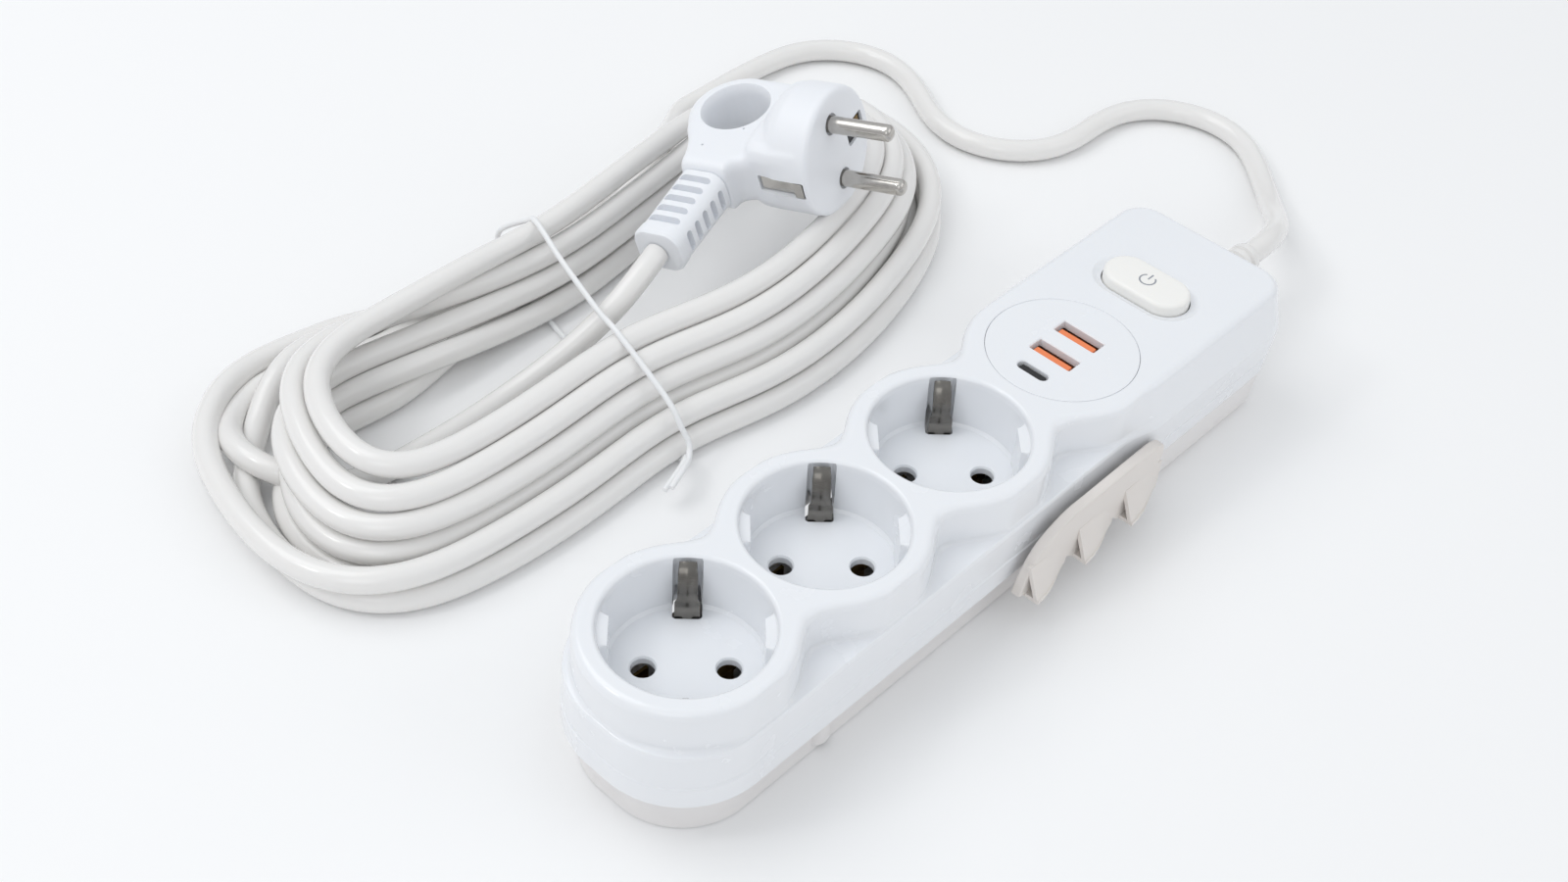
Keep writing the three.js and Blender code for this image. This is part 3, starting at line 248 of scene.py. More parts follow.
# ---- mesh helpers -------------------------------------------------------
ALONG_X = Matrix.Rotation(math.pi / 2, 4, "Y")
ALONG_Y = Matrix.Rotation(-math.pi / 2, 4, "X")


def shift(x=0.0, y=0.0, z=0.0):
    """A move given in millimetres."""
    return Matrix.Translation((x * MM, y * MM, z * MM))


def new_piece(name, verts, faces, place=None):
    """A mesh object from points in millimetres, with an optional matrix to the strip's frame."""
    mesh = bpy.data.meshes.new(name)
    faces = [tuple(map(int, face)) for face in faces]
    mesh.from_pydata((np.asarray(verts, float) * MM).tolist(), [], faces)
    if place is not None:
        mesh.transform(place)
    mesh.validate()
    piece = bpy.data.objects.new(name, mesh)
    bpy.context.scene.collection.objects.link(piece)
    return piece


def loft(rings, wrap=False):
    """Points and faces of a closed solid through rings of equal count that run anticlockwise, low to high."""
    count = len(rings[0])
    pairs = list(zip(range(len(rings)), range(1, len(rings))))
    if wrap:
        pairs.append((len(rings) - 1, 0))
    faces = []
    for low, high in pairs:
        for i in range(count):
            j = (i + 1) % count
            faces.append((low * count + i, low * count + j, high * count + j, high * count + i))
    if not wrap:
        faces.append(range(count - 1, -1, -1))
        faces.append(range((len(rings) - 1) * count, len(rings) * count))
    return np.vstack(rings), faces


def ring_at(outline, z):
    """A flat outline lifted to a height."""
    return np.column_stack([outline, np.full(len(outline), float(z))])


def upright(outline, y):
    """An outline of (x, z) points, standing at a place along Y."""
    return np.column_stack([outline[:, 0], np.full(len(outline), float(y)), outline[:, 1]])


def circle(radius, sides, x=0.0, y=0.0):
    """Points of a circle, anticlockwise."""
    turn = np.linspace(0, 2 * math.pi, sides, endpoint=False)
    return np.column_stack([x + radius * np.cos(turn), y + radius * np.sin(turn)])


def rounded_rect(half_x, half_y, radius, per_corner=8, x=0.0, y=0.0):
    """Outline of a rectangle with round corners, anticlockwise."""
    radius = max(min(radius, half_x, half_y), 0.01)
    points = []
    for corner, (sx, sy) in enumerate(((1, 1), (-1, 1), (-1, -1), (1, -1))):
        for k in range(per_corner + 1):
            turn = math.pi / 2 * (corner + k / per_corner)
            points.append((x + sx * (half_x - radius) + radius * math.cos(turn),
                           y + sy * (half_y - radius) + radius * math.sin(turn)))
    return np.array(points)


def pill(size, inset, x=0.0):
    """Outline of a pill of the given size along X and Y, pulled in by inset."""
    half_x = size[0] / 2 - inset
    half_y = size[1] / 2 - inset
    return rounded_rect(half_x, half_y, min(half_x, half_y), 16, x)


def lathe(profile, sides=64, x=0.0, y=0.0):
    """A turned solid from (radius, height) pairs, low to high."""
    return loft([ring_at(circle(radius, sides, x, y), z) for radius, z in profile])


def arc(centre_a, centre_b, radius, start, end, steps):
    """Points of an arc, with angles in degrees."""
    turns = np.radians(np.linspace(start, end, steps + 1))
    return [(centre_a + radius * math.cos(t), centre_b + radius * math.sin(t)) for t in turns]


def turned(name, profile, sides=64, x=0.0, y=0.0, place=None):
    """A turned piece from (radius, height) pairs."""
    return new_piece(name, *lathe(profile, sides, x, y), place)


def stacked(name, rings, place=None):
    """A piece through rings of equal count."""
    return new_piece(name, *loft(rings), place)


def shrunk(outline, inset):
    """An outline with each point moved towards its centre."""
    inward = outline.mean(0) - outline
    return outline + inward / np.linalg.norm(inward, axis=1)[:, None] * inset


def face_out(piece):
    """Turns all faces of a closed mesh outwards."""
    work = bmesh.new()
    work.from_mesh(piece.data)
    bmesh.ops.recalc_face_normals(work, faces=work.faces)
    work.to_mesh(piece.data)
    work.free()
    return piece


def bake(piece):
    """Applies a piece's modifiers to its mesh."""
    graph = bpy.context.evaluated_depsgraph_get()
    mesh = bpy.data.meshes.new_from_object(piece.evaluated_get(graph))
    old = piece.data
    piece.modifiers.clear()
    piece.data = mesh
    bpy.data.meshes.remove(old)


def carve(piece, tools, operation="DIFFERENCE"):
    """Cuts tools out of a piece, or joins them to it, and removes them."""
    for tool in tools:
        modifier = piece.modifiers.new("carve", "BOOLEAN")
        modifier.operation = operation
        modifier.solver = "MANIFOLD"
        modifier.object = tool
    bake(piece)
    for tool in tools:
        bpy.data.objects.remove(tool)
    return piece


def tidy(piece, angle):
    """Smooth shading with sharp edges kept above an angle, weighted towards the large faces."""
    mesh = piece.data
    work = bmesh.new()
    work.from_mesh(mesh)
    bmesh.ops.remove_doubles(work, verts=work.verts, dist=0.02 * MM)
    bmesh.ops.dissolve_degenerate(work, edges=work.edges, dist=0.01 * MM)
    work.to_mesh(mesh)
    work.free()
    for polygon in mesh.polygons:
        polygon.use_smooth = True
    mesh.set_sharp_from_angle(angle=math.radians(angle))
    modifier = piece.modifiers.new("even shading", "WEIGHTED_NORMAL")
    modifier.keep_sharp = True
    modifier.weight = 80
    bake(piece)


def place_piece(piece, slot, *nodes, body="strip", finish=None, angle=32):
    """Finishes a piece: shading, material, body, slot and the CAD nodes that it stands for."""
    if piece.type == "MESH":
        tidy(piece, angle)
    piece.data.materials.clear()
    piece.data.materials.append(MATERIALS[finish or slot])
    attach(piece, body)
    if nodes:
        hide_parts(*nodes)
    return piece


def round_bar(name, kind, points, radius, resolution):
    """A curve with a round section along points in millimetres; the radius is in metres."""
    curve = bpy.data.curves.new(name, "CURVE")
    curve.dimensions = "3D"
    curve.bevel_depth = radius
    curve.bevel_resolution = resolution
    curve.use_fill_caps = True
    spline = curve.splines.new(kind)
    spline.points.add(len(points) - 1)
    for point, place in zip(spline.points, points * MM):
        point.co = (*place, 1)
    bar = bpy.data.objects.new(name, curve)
    bpy.context.scene.collection.objects.link(bar)
    return bar


# ---- outline of the strip -----------------------------------------------
def box_distance(x, y, low_x, high_x, half, radius):
    """Signed distance to a rounded rectangle centred on Y."""
    qx = np.abs(x - (low_x + high_x) / 2) - (high_x - low_x) / 2 + radius
    qy = np.abs(y) - half + radius
    outside = np.hypot(np.maximum(qx, 0), np.maximum(qy, 0))
    return outside + np.minimum(np.maximum(qx, qy), 0) - radius


def body_distance(x, y):
    """Signed distance to the outline of the shells."""
    radius = np.where(x < 0, NEAR_RADIUS, FAR_RADIUS)
    return box_distance(x, y, -HALF_LENGTH, HALF_LENGTH, HALF_WIDTH, radius)


def blended(a, b, size=FILLET):
    """The smaller of two values, with a smooth change from one to the other."""
    share = np.clip(0.5 + 0.5 * (b - a) / size, 0, 1)
    return b + (a - b) * share - size * share * (1 - share)


def deck_distance(x, y):
    """Signed distance to the raised deck: rings round the sockets, necks, and the straight end."""
    result = box_distance(x, y, SOCKET_X[0], USB_X, NECK_HALF, 0.5)
    for centre in (*SOCKET_X, USB_X):
        result = blended(result, np.hypot(x - centre, y) - RIM_RADIUS)
    return blended(result, box_distance(x, y, USB_X, HALF_LENGTH - 3, RIM_RADIUS, FAR_RADIUS - 3))


NEAR_TURN = np.radians(np.linspace(90, 270, 73))[:-1]
FAR_TURN = np.radians(np.linspace(-90, 90, 61))[:-1]
FAR_CENTRE = 100.0
SIDE_X = np.linspace(SOCKET_X[0], FAR_CENTRE, 186)[:-1]
BACK_X = np.linspace(FAR_CENTRE, SOCKET_X[0], 186)[:-1]
# Each station of a ring: where on the spine it starts, and its way out.
STATION_FROM = np.concatenate([
    np.full(len(NEAR_TURN), SOCKET_X[0]), SIDE_X, np.full(len(FAR_TURN), FAR_CENTRE), BACK_X])
STATION_WAY = np.concatenate([
    np.column_stack([np.cos(NEAR_TURN), np.sin(NEAR_TURN)]),
    np.tile((0.0, -1.0), (len(SIDE_X), 1)),
    np.column_stack([np.cos(FAR_TURN), np.sin(FAR_TURN)]),
    np.tile((0.0, 1.0), (len(BACK_X), 1)),
])
STRAIGHT_FROM = 40.0             # where the ledge starts to close up into a plain wall
STRAIGHT_TO = 54.0


def reach_at(distance, offset):
    """How far out from the spine each station meets the given offset of an outline."""
    low = np.zeros(len(STATION_FROM))
    high = np.full(len(STATION_FROM), 60.0)
    for _ in range(40):
        middle = (low + high) / 2
        x = STATION_FROM + middle * STATION_WAY[:, 0]
        y = middle * STATION_WAY[:, 1]
        inside = distance(x, y) < offset
        low = np.where(inside, middle, low)
        high = np.where(inside, high, middle)
    return low


def straight_share():
    """0 where the deck has its ledge, 1 along the plain walls of the cord end."""
    x = STATION_FROM + 20 * STATION_WAY[:, 0] * (STATION_FROM >= FAR_CENTRE)
    share = np.clip((x - STRAIGHT_FROM) / (STRAIGHT_TO - STRAIGHT_FROM), 0, 1)
    return share * share * (3 - 2 * share)


def strip_rings(profile):
    """Rings of a strip-shaped solid. A profile row is (outline, offset, z, straight offset, straight z)."""
    share = straight_share()
    rings = []
    limit = np.full(len(share), 99.0)
    for outline, offset, z, straight_offset, straight_z in profile:
        distance = body_distance if outline == "body" else deck_distance
        near = blended(reach_at(distance, offset), limit - 0.1, 0.3)
        limit = near
        reach = near * (1 - share) + reach_at(body_distance, straight_offset) * share
        height = z * (1 - share) + straight_z * share
        rings.append(np.column_stack([
            STATION_FROM + reach * STATION_WAY[:, 0], reach * STATION_WAY[:, 1], height]))
    return rings


def shell_profile():
    """The top shell's outside: a groove above the parting line, the wall, the ledge and the deck."""
    rows = []
    for offset, z in ((-1.8, SHELL_BOTTOM), (-1.5, SHELL_BOTTOM + 0.3), (-1.12, 17.9), (-1.3, 18.05),
                      (-1.3, 18.25), (-1.0, 18.45), (-0.2, 26.9)):
        rows.append(("body", offset, z, offset, z))
    straight = [(-0.22, 27.3), (-0.28, 27.7), (-0.36, 28.1), (-0.45, 28.5)]
    for (offset, z), (far_offset, far_z) in zip(arc(-1.4, 27.1, 1.2, 15, 90, 3), straight):
        rows.append(("body", offset, z, far_offset, far_z))
    rows.append(("body", -1.5, 28.33, -0.52, 28.8))
    straight = [(-0.6, 29.1), (-0.7, 29.5), (-0.8, 29.9), (-0.95, 30.5)]
    for (offset, z), (far_offset, far_z) in zip(arc(1.2, 29.4, 1.0, 270, 180, 3), straight):
        rows.append(("deck", offset, z, far_offset, far_z))
    edge = 2.4
    near_edge = arc(0.2 - edge, DECK_Z - edge, edge, 0, 90, 7)
    far_edge = arc(-2.7 - edge, DECK_Z - edge, edge, 12, 90, 7)
    for (offset, z), (far_offset, far_z) in zip(near_edge, far_edge):
        rows.append(("deck", offset, z, far_offset, far_z))
    return rows


def hollow_profile():
    """The space inside the top shell, open at the parting line."""
    ceiling = DECK_Z - WALL
    return [
        ("body", -1.5 - WALL, SHELL_BOTTOM - 1, -1.5 - WALL, SHELL_BOTTOM - 1),
        ("body", -WALL - 0.3, 26, -WALL - 0.3, 26),
        ("deck", 0.5 - WALL, 26.2, -WALL - 0.9, 28),
        ("deck", -0.4 - WALL, ceiling - 1, -WALL - 3.2, ceiling - 1),
        ("deck", -2 - WALL, ceiling, -WALL - 4.4, ceiling),
    ]


def recess_tool(x):
    """The space of one socket recess, with its guide ribs and a rounded rim."""
    top = DECK_Z + 0.01
    turn = np.linspace(0, 2 * math.pi, 288, endpoint=False)
    heights = [RECESS_FLOOR, RECESS_FLOOR + 0.25, RECESS_FLOOR + 0.8, 28, 31, 34, 37,
               DECK_Z - 2.6, DECK_Z - 2.2, DECK_Z - 1.8]
    across = np.abs((turn - PIN_LINE + math.pi / 2) % math.pi - math.pi / 2)
    rings = []
    for z in heights:
        share = (z - RECESS_FLOOR) / (DECK_Z - RECESS_FLOOR)
        wall = RECESS_FLOOR_RADIUS + (RECESS_RADIUS - RECESS_FLOOR_RADIUS) * share
        wall -= max(0.0, 0.8 - (z - RECESS_FLOOR)) * 0.9
        rib = np.minimum(RIB_REACH / np.cos(np.minimum(across, 1.2)), wall)
        side = np.clip((RIB_HALF - RIB_REACH * np.tan(np.minimum(across, 1.2))) / 0.5, 0, 1)
        fade = np.clip((DECK_Z - 1.8 - z) / 0.8, 0, 1)
        radius = wall + (rib - wall) * side * fade
        rings.append(ring_at(np.column_stack([x + radius * np.cos(turn), radius * np.sin(turn)]), z))
    for outward, z in arc(RIM_ROUND, top - RIM_ROUND, RIM_ROUND, 180, 90, 6):
        rings.append(ring_at(circle(RECESS_RADIUS + outward, len(turn), x), z))
    rings.append(ring_at(circle(RECESS_RADIUS + RIM_ROUND + 0.5, len(turn), x), top + 1))
    return stacked("recess_tool", rings)


def clip_slot_tool(x, turn):
    """The pocket in a recess wall in which one leg of the earth clip stands."""
    low, high, half, top = 14.05, 20.7, 3.4, DECK_Z - 1.2
    outline = rounded_rect((high - low) / 2, half, 0.9, 5)
    middle = ((low + high) / 2, 0)
    rings = [ring_at(outline + middle, z) for z in (RECESS_FLOOR - 6, top)]
    rings += [ring_at(outline * (1 - 0.03 * k) + middle, top + 0.3 * k) for k in (1, 2)]
    return stacked("clip_slot_tool", rings, shift(x) @ Matrix.Rotation(turn, 4, "Z"))


def hole_tool(x, y, radius, flare):
    """A hole in a recess floor, with a flared edge."""
    profile = [(radius, RECESS_FLOOR - 8), (radius, RECESS_FLOOR - 0.5),
               (radius + flare, RECESS_FLOOR + 0.02), (radius + flare, RECESS_FLOOR + 0.6)]
    return turned("hole_tool", profile, 40, x, y)


def pin_places(x):
    """Middles of a socket's two pin holes."""
    reach_x, reach_y = PIN_REACH * math.cos(PIN_LINE), PIN_REACH * math.sin(PIN_LINE)
    return [(x + side * reach_x, side * reach_y) for side in (1, -1)]


BOSS_X = ((SOCKET_X[0] + SOCKET_X[1]) / 2, (SOCKET_X[2] + USB_X) / 2, HALF_LENGTH - 12)
BOSSES = [(x, side * 19.6) for x in BOSS_X for side in (1, -1)]
BUTTON_WELL = 33                 # height down to which the deck is open under the button and the USB plate


def inside_tool():
    """The hollow of the top shell, less the cups, rims, collar and screw bosses that stand in it."""
    hollow = stacked("hollow_tool", strip_rings(hollow_profile()))
    cup = [(RECESS_RADIUS + 1, RECESS_FLOOR - WALL), (RECESS_RADIUS + 1.7, DECK_Z)]
    kept = [turned("cup", cup, 72, x) for x in SOCKET_X]
    kept.append(turned("usb_rim", [(USB_RADIUS + 2, 35.4), (USB_RADIUS + 2, DECK_Z)], 72, USB_X))
    collar = pill(BUTTON_SIZE, -1.75, BUTTON_X)
    kept.append(stacked("button_collar", [ring_at(collar, z) for z in (34, DECK_Z)]))
    kept += [turned("boss", [(3.6, SHELL_BOTTOM), (3.6, DECK_Z)], 24, x, y) for x, y in BOSSES]
    return carve(hollow, kept)


def button_dish_tool():
    """The shallow dish round the button."""
    steps, width, depth = 6, 2.45, 0.75
    rings = []
    for share in np.linspace(0, 1, steps + 1):
        outline = pill(DISH_SIZE, width * (1 - share), BUTTON_X)
        rings.append(ring_at(outline, DECK_Z + 0.01 - depth * math.cos(share * math.pi / 2)))
    rings.append(ring_at(pill(DISH_SIZE, 0, BUTTON_X), DECK_Z + 1))
    return stacked("dish_tool", rings)


def make_top_shell():
    """The upper shell, with its recesses, the seats of the USB plate and button, and its screw bosses."""
    shell = stacked("top_shell_skin", strip_rings(shell_profile()))
    tools = [inside_tool()]
    for x in SOCKET_X:
        tools.append(recess_tool(x))
        tools += [clip_slot_tool(x, PIN_LINE + math.pi / 2 + half * math.pi) for half in (0, 1)]
        tools += [hole_tool(*place, PIN_HOLE, 0.35) for place in pin_places(x)]
    seat = [(USB_RADIUS + 0.1, PLATE_LOW[2] - 0.3), (USB_RADIUS + 0.1, DECK_Z - 0.15),
            (USB_RADIUS + 0.25, DECK_Z + 0.02), (USB_RADIUS + 0.25, DECK_Z + 1)]
    tools.append(turned("usb_seat_tool", seat, 128, USB_X))
    well = [(USB_RADIUS - 2, BUTTON_WELL), (USB_RADIUS - 2, DECK_Z)]
    tools.append(turned("usb_well_tool", well, 96, USB_X))
    tools.append(button_dish_tool())
    hole = pill(BUTTON_SIZE, -0.35, BUTTON_X)
    tools.append(stacked("button_hole_tool", [ring_at(hole, z) for z in (BUTTON_WELL, 41)]))
    tools += [turned("pilot_tool", [(1.75, SHELL_BOTTOM - 1), (1.75, 24)], 16, x, y) for x, y in BOSSES]
    tools.append(turned("cord_hole_tool", [(5.4, -8), (5.4, 4)], 48,
                        place=shift(HALF_LENGTH, 0, CORD_HEIGHT) @ ALONG_X))
    return carve(shell, tools)


def make_bottom_tray():
    """The lower shell: a tray with a rounded lower edge, screw bosses and a saddle for the cord."""
    top = SHELL_BOTTOM - 0.3
    rows = [(offset, z) for offset, z in arc(-5.2, 2.6, 2.6, 270, 350, 6)]
    rows += [(-1.75, top - 0.25), (-1.95, top), (-3.9, top), (-4.7, 5), (-6, 2.4)]
    tray = stacked("bottom_tray_skin", strip_rings([("body", a, z, a, z) for a, z in rows]))
    bosses = [turned("tray_boss", [(4, 1.2), (3.6, top)], 32, x, y) for x, y in BOSSES]
    block = rounded_rect(3, 11, 0.6, 4, HALF_LENGTH - 19)
    saddle = stacked("saddle", [ring_at(block, z) for z in (1.2, 17.3)])
    carve(tray, [*bosses, saddle], "UNION")
    tools = []
    for x, y in BOSSES:
        tools.append(turned("counterbore", [(3.5, -0.4), (3.2, 0.35), (3.2, 4)], 32, x, y))
        tools.append(turned("screw_way", [(1.85, 3), (1.85, 15)], 24, x, y))
    return carve(tray, tools)


def make_usb_plate():
    """The round plate of the USB ports, with a flared slot over each port."""
    low, top = PLATE_LOW[2], PLATE_HIGH[2]
    edge = 0.2
    round_edge = arc(USB_RADIUS - edge, top - edge, edge, 0, 90, 4)
    profile = [(USB_RADIUS, low), *round_edge, (USB_RADIUS - 1.5, top)]
    plate = turned("usb_plate_skin", profile, 128, USB_X)
    tools = []
    for name, x in SLOTS_X.items():
        half_x, half_y, corner = (1.5, 4.5, 1.5) if name == "usb_c_port" else (2.35, 6.3, 0.35)
        rings = []
        for grow, z in ((0, low - 1), (0, top - 0.3), (0.3, top + 0.02), (0.3, top + 1)):
            rings.append(ring_at(rounded_rect(half_x + grow, half_y + grow, corner + grow, 8, x), z))
        tools.append(stacked("slot_tool", rings))
    return carve(plate, tools)


def make_usb_tongue(node, depth, grow):
    """The tongue or insert that shows in a USB slot, up to a depth below the plate."""
    low, high = node_box(node)
    centre, half = (low + high) / 2, (high - low) / 2
    outline = rounded_rect(half[0] + grow, half[1], 0.25, 4, centre[0])
    top = DECK_Z - depth
    rings = [ring_at(outline, low[2]), ring_at(outline, top - 0.2), ring_at(outline * (1, 0.985), top)]
    return stacked(f"{node}_insert", rings)


def make_power_button():
    """The hollow push button with a soft edge and a crowned top, on its stem."""
    top = BUTTON_HIGH[2]
    low = DECK_Z - 8
    rows = [(-0.9, low), (-0.9, low + 1.7), (0, low + 1.7), (0, top - 1.6)]
    rows += [(inset, top + height - 0.15) for inset, height in arc(1.3, -1.3, 1.3, 160, 90, 6)]
    rows += [(3.4, top - 0.02), (5.4, top)]
    rings = [ring_at(pill(BUTTON_SIZE, inset, BUTTON_X), z) for inset, z in rows]
    button = stacked("power_button_skin", rings)
    inside = pill(BUTTON_SIZE, 1.5, BUTTON_X)
    carve(button, [stacked("button_hollow", [ring_at(inside, z) for z in (low - 1, top - 2)])])
    stem = turned("stem", [(2.6, BUTTON_LOW[2]), (3, BUTTON_LOW[2] + 0.4), (3, top - 1.5)], 32, BUTTON_X)
    return carve(button, [stem], "UNION")


def make_power_mark():
    """The printed on-off mark: an open ring and a bar, pointing along the strip."""
    z0, z1 = BUTTON_HIGH[2] - 0.06, BUTTON_HIGH[2] + 0.015
    half, width, gap = 2.1, 0.42, 38
    verts, faces = [], []

    def strip(path, wide):
        start = len(verts)
        path = np.array(path)
        along = np.gradient(path, axis=0)
        along /= np.linalg.norm(along, axis=1)[:, None]
        side = np.column_stack([-along[:, 1], along[:, 0]]) * wide / 2
        for point, out in zip(path, side):
            for sign in (1, -1):
                for z in (z0, z1):
                    verts.append((*(point + sign * out), z))
        for k in range(len(path) - 1):
            a, b = start + 4 * k, start + 4 * (k + 1)
            faces.extend([(a + 1, b + 1, b + 3, a + 3), (a, a + 2, b + 2, b),
                          (a, b, b + 1, a + 1), (a + 2, a + 3, b + 3, b + 2)])
        last = start + 4 * (len(path) - 1)
        faces.append((start, start + 1, start + 3, start + 2))
        faces.append((last, last + 2, last + 3, last + 1))

    strip(arc(BUTTON_X, 0, half, gap, 360 - gap, 36), width)
    strip([(BUTTON_X + 0.2, 0), (BUTTON_X + 1.4, 0), (BUTTON_X + half + 0.5, 0)], width)
    return new_piece("power_mark", verts, faces)


def sweep(path, section, widths):
    """A closed bar along a path in the XZ plane, with a section of (across, out) points.

    The section is widened by a share at each point of the path."""
    along = np.gradient(path, axis=0)
    along /= np.linalg.norm(along, axis=1)[:, None]
    out = np.column_stack([-along[:, 1], along[:, 0]])
    rings = []
    for (x, z), (out_x, out_z), wide in zip(path, out, widths):
        rings.append(np.array([(x + out_x * b, a * wide, z + out_z * b) for a, b in section]))
    return loft(rings)


def make_earth_clip(index, x):
    """The earth strip of one socket, with a pressed rib down each leg and a curled far tip."""
    low, _ = node_box(f"earth_clip_{index}")
    base = low[2] + 0.4
    floor, leg = RECESS_FLOOR, RECESS_FLOOR_RADIUS - 3.4
    half = [(leg - 2.4, base), (leg - 0.4, base + 0.9), (leg, floor - 0.6), (leg - 0.3, floor + 3),
            (leg + 0.3, floor + 4.6), (leg + 0.9, floor + 7), (leg + 2.1, DECK_Z - 5.2),
            (leg + 3.5, DECK_Z - 3), (leg + 5, DECK_Z - 2)]
    near = [(-a, b) for a, b in reversed(half[:-2])]      # the near leg ends lower, inside its pocket
    path = resampled([*near, (0, base), *half], 0.7)
    w, t, edge, rib = 2.75, 0.4, 0.15, 0.28
    section = [(w, edge - t), (w, t - edge), (w - edge, t), (1.3, t), (0.8, t + rib), (-0.8, t + rib),
               (-1.3, t), (edge - w, t), (-w, t - edge), (-w, edge - t), (edge - w, -t), (-0.8, -t),
               (0.8, -t), (w - edge, -t)]
    heights = (floor + 4.4, floor + 5.4, DECK_Z - 4, DECK_Z - 2)
    verts, faces = sweep(path, section, np.interp(path[:, 1], heights, (1.05, 0.82, 0.82, 0.72)))
    spun = shift(x) @ Matrix.Rotation(PIN_LINE + math.pi / 2, 4, "Z")
    return face_out(new_piece(f"earth_clip_{index}_strip", verts, faces, spun))


def hook_outline(x, front, out):
    """Plan of one hook at one height: a flap that stands off the plate, open towards the near end."""
    t = np.linspace(0, 1, 13)
    rise = (1 - t ** 2) ** 1.5                # 1 at the mouth, 0 where the flap joins the plate
    outer = np.column_stack([x + 16 * t, front + 0.3 + (out - front - 0.3) * rise])
    inner = np.column_stack([x + 15 * t, front + 1.6 + (out - front - 0.4) * rise])
    return np.vstack([outer, inner[::-1]])


def comb_side(x0, z0, x1, z1):
    """The comb's plate seen from its side: a sloped near end, a round far end and a lobed lower edge."""
    top = [(x0, z0 + 1.5), (x0 + 2.6, z0 + 8), (x0 + 7.5, z1 - 4), (x0 + 17, z1 - 0.4), (x0 + 26, z1)]
    end = [(x1 - 5, z1), (x1 - 1.2, z1 - 1), (x1, z1 - 3.6), (x1 - 1.6, z0 + 9)]
    low = [(x1 - 4, z0 + 4.6), (x1 - 10, z0 + 1.4), (x1 - 16, z0 + 0.5), (x1 - 19, z0 + 2.6),
           (x1 - 29, z0 + 0.7), (x1 - 35, z0 + 0.3), (x1 - 38, z0 + 2.2), (x1 - 47, z0), (x0 + 3, z0 + 0.2)]
    return np.vstack([resampled(top, 1.5), resampled(end, 1.2), resampled(low, 1.5)])[::-1]


def make_cable_comb():
    """The comb on the strip's side: a plate with three hooks, on two pegs."""
    (x0, _, z0), (x1, _, z1) = node_box("cable_comb")
    back = -HALF_WIDTH - 0.15
    front = back - 2.9
    flap, levels = 3.8, 8                 # how far a hook's mouth stands out, and the steps up its flap
    side = comb_side(x0, z0, x1, z1)
    insets = ((0.5, back), (0, back - 0.4), (0, front + 0.7), (0.25, front + 0.25), (0.75, front))
    comb = stacked("cable_comb_skin", [upright(shrunk(side, inset), y) for inset, y in insets])
    hooks = []
    for x in (x0 + 2.5, x0 + 21.5, x0 + 40.5):
        hook = []
        for share in np.linspace(0, 1, levels + 1):
            out = front - 0.1 - flap * (1 - share)
            hook.append(ring_at(hook_outline(x, front, out), z0 + 0.2 + 9.6 * share))
        hooks.append(stacked("hook", hook))
        mouth = hook_outline(x, front, front - 0.1 - flap)
        foot = np.vstack([mouth[:len(mouth) // 2], [(x + 16, front + 1), (x, front + 1)]])
        hooks.append(stacked("hook_foot", [ring_at(foot, z0 + 0.15), ring_at(foot, z0 + 1.2)]))
    for piece in (comb, *hooks):
        face_out(piece)
    pegs = [turned("peg", [(1.8, -2.4), (1.8, 2.4)], 24, place=shift(x0 + dx, back + 1.8, z0 + 10) @ ALONG_Y)
            for dx in (21, 46)]
    return carve(comb, [*hooks, *pegs], "UNION")


def make_cord_relief():
    """Tapered strain relief of the strip, ribbed, with a flange inside the wall."""
    low, high = node_box("cord_relief")
    start, end = low[0], high[0]
    wall = HALF_LENGTH + 0.3
    profile = [(6.8, start), (7, start + 0.3), (7, start + 1.7), (6.8, start + 2), (5, start + 2.2),
               (5, wall), (5.7, wall + 0.1), (6, wall + 0.6), (6, wall + 1.8)]
    ribs = 5
    pitch = (end - wall - 3.4) / ribs
    for k in range(ribs):
        x = wall + 2.2 + k * pitch
        radius = 5.7 - 1.2 * k / ribs
        profile += [(radius - 0.9, x), (radius - 0.9, x + 0.35 * pitch), (radius - 0.1, x + 0.45 * pitch),
                    (radius - 0.15, x + 0.9 * pitch)]
    profile += [(4.35, end - 1), (4.15, end - 0.3), (3.9, end)]
    return face_out(turned("cord_relief_sleeve", profile, 56, place=shift(z=CORD_HEIGHT) @ ALONG_X))


# ---- plug ---------------------------------------------------------------
def plug_frame():
    """Matrix from the plug's own axes: X along the pins, Y from pin to pin, Z the way the cord leaves."""
    x = Vector(MOUNTS["plug_face"]["axis"]).normalized()
    centres = [np.mean(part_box(f"plug_pin_{i}"), axis=0) for i in (1, 2)]
    y = Vector(centres[0] - centres[1]).normalized()
    z = x.cross(y).normalized()
    y = z.cross(x)
    turn = Matrix((x, y, z)).transposed().to_4x4()
    return Matrix.Translation(Vector(MOUNTS["plug_face"]["pos_m"])) @ turn


PLUG = plug_frame()
RING_CENTRE = (-33, -3)
AXIS_BACK = -30
RELIEF_START = 23


def plug_prism(name, plan, half, edge):
    """A plate of the plug: a plan of (x, z) points, extruded along the plug's Y with rounded edges."""
    rows = [(edge, half), (0.3 * edge, half - 0.3 * edge), (0, half - edge)]
    rows = [(inset, -y) for inset, y in rows] + rows[::-1]
    return face_out(stacked(name, [upright(shrunk(np.array(plan, float), inset), y) for inset, y in rows]))


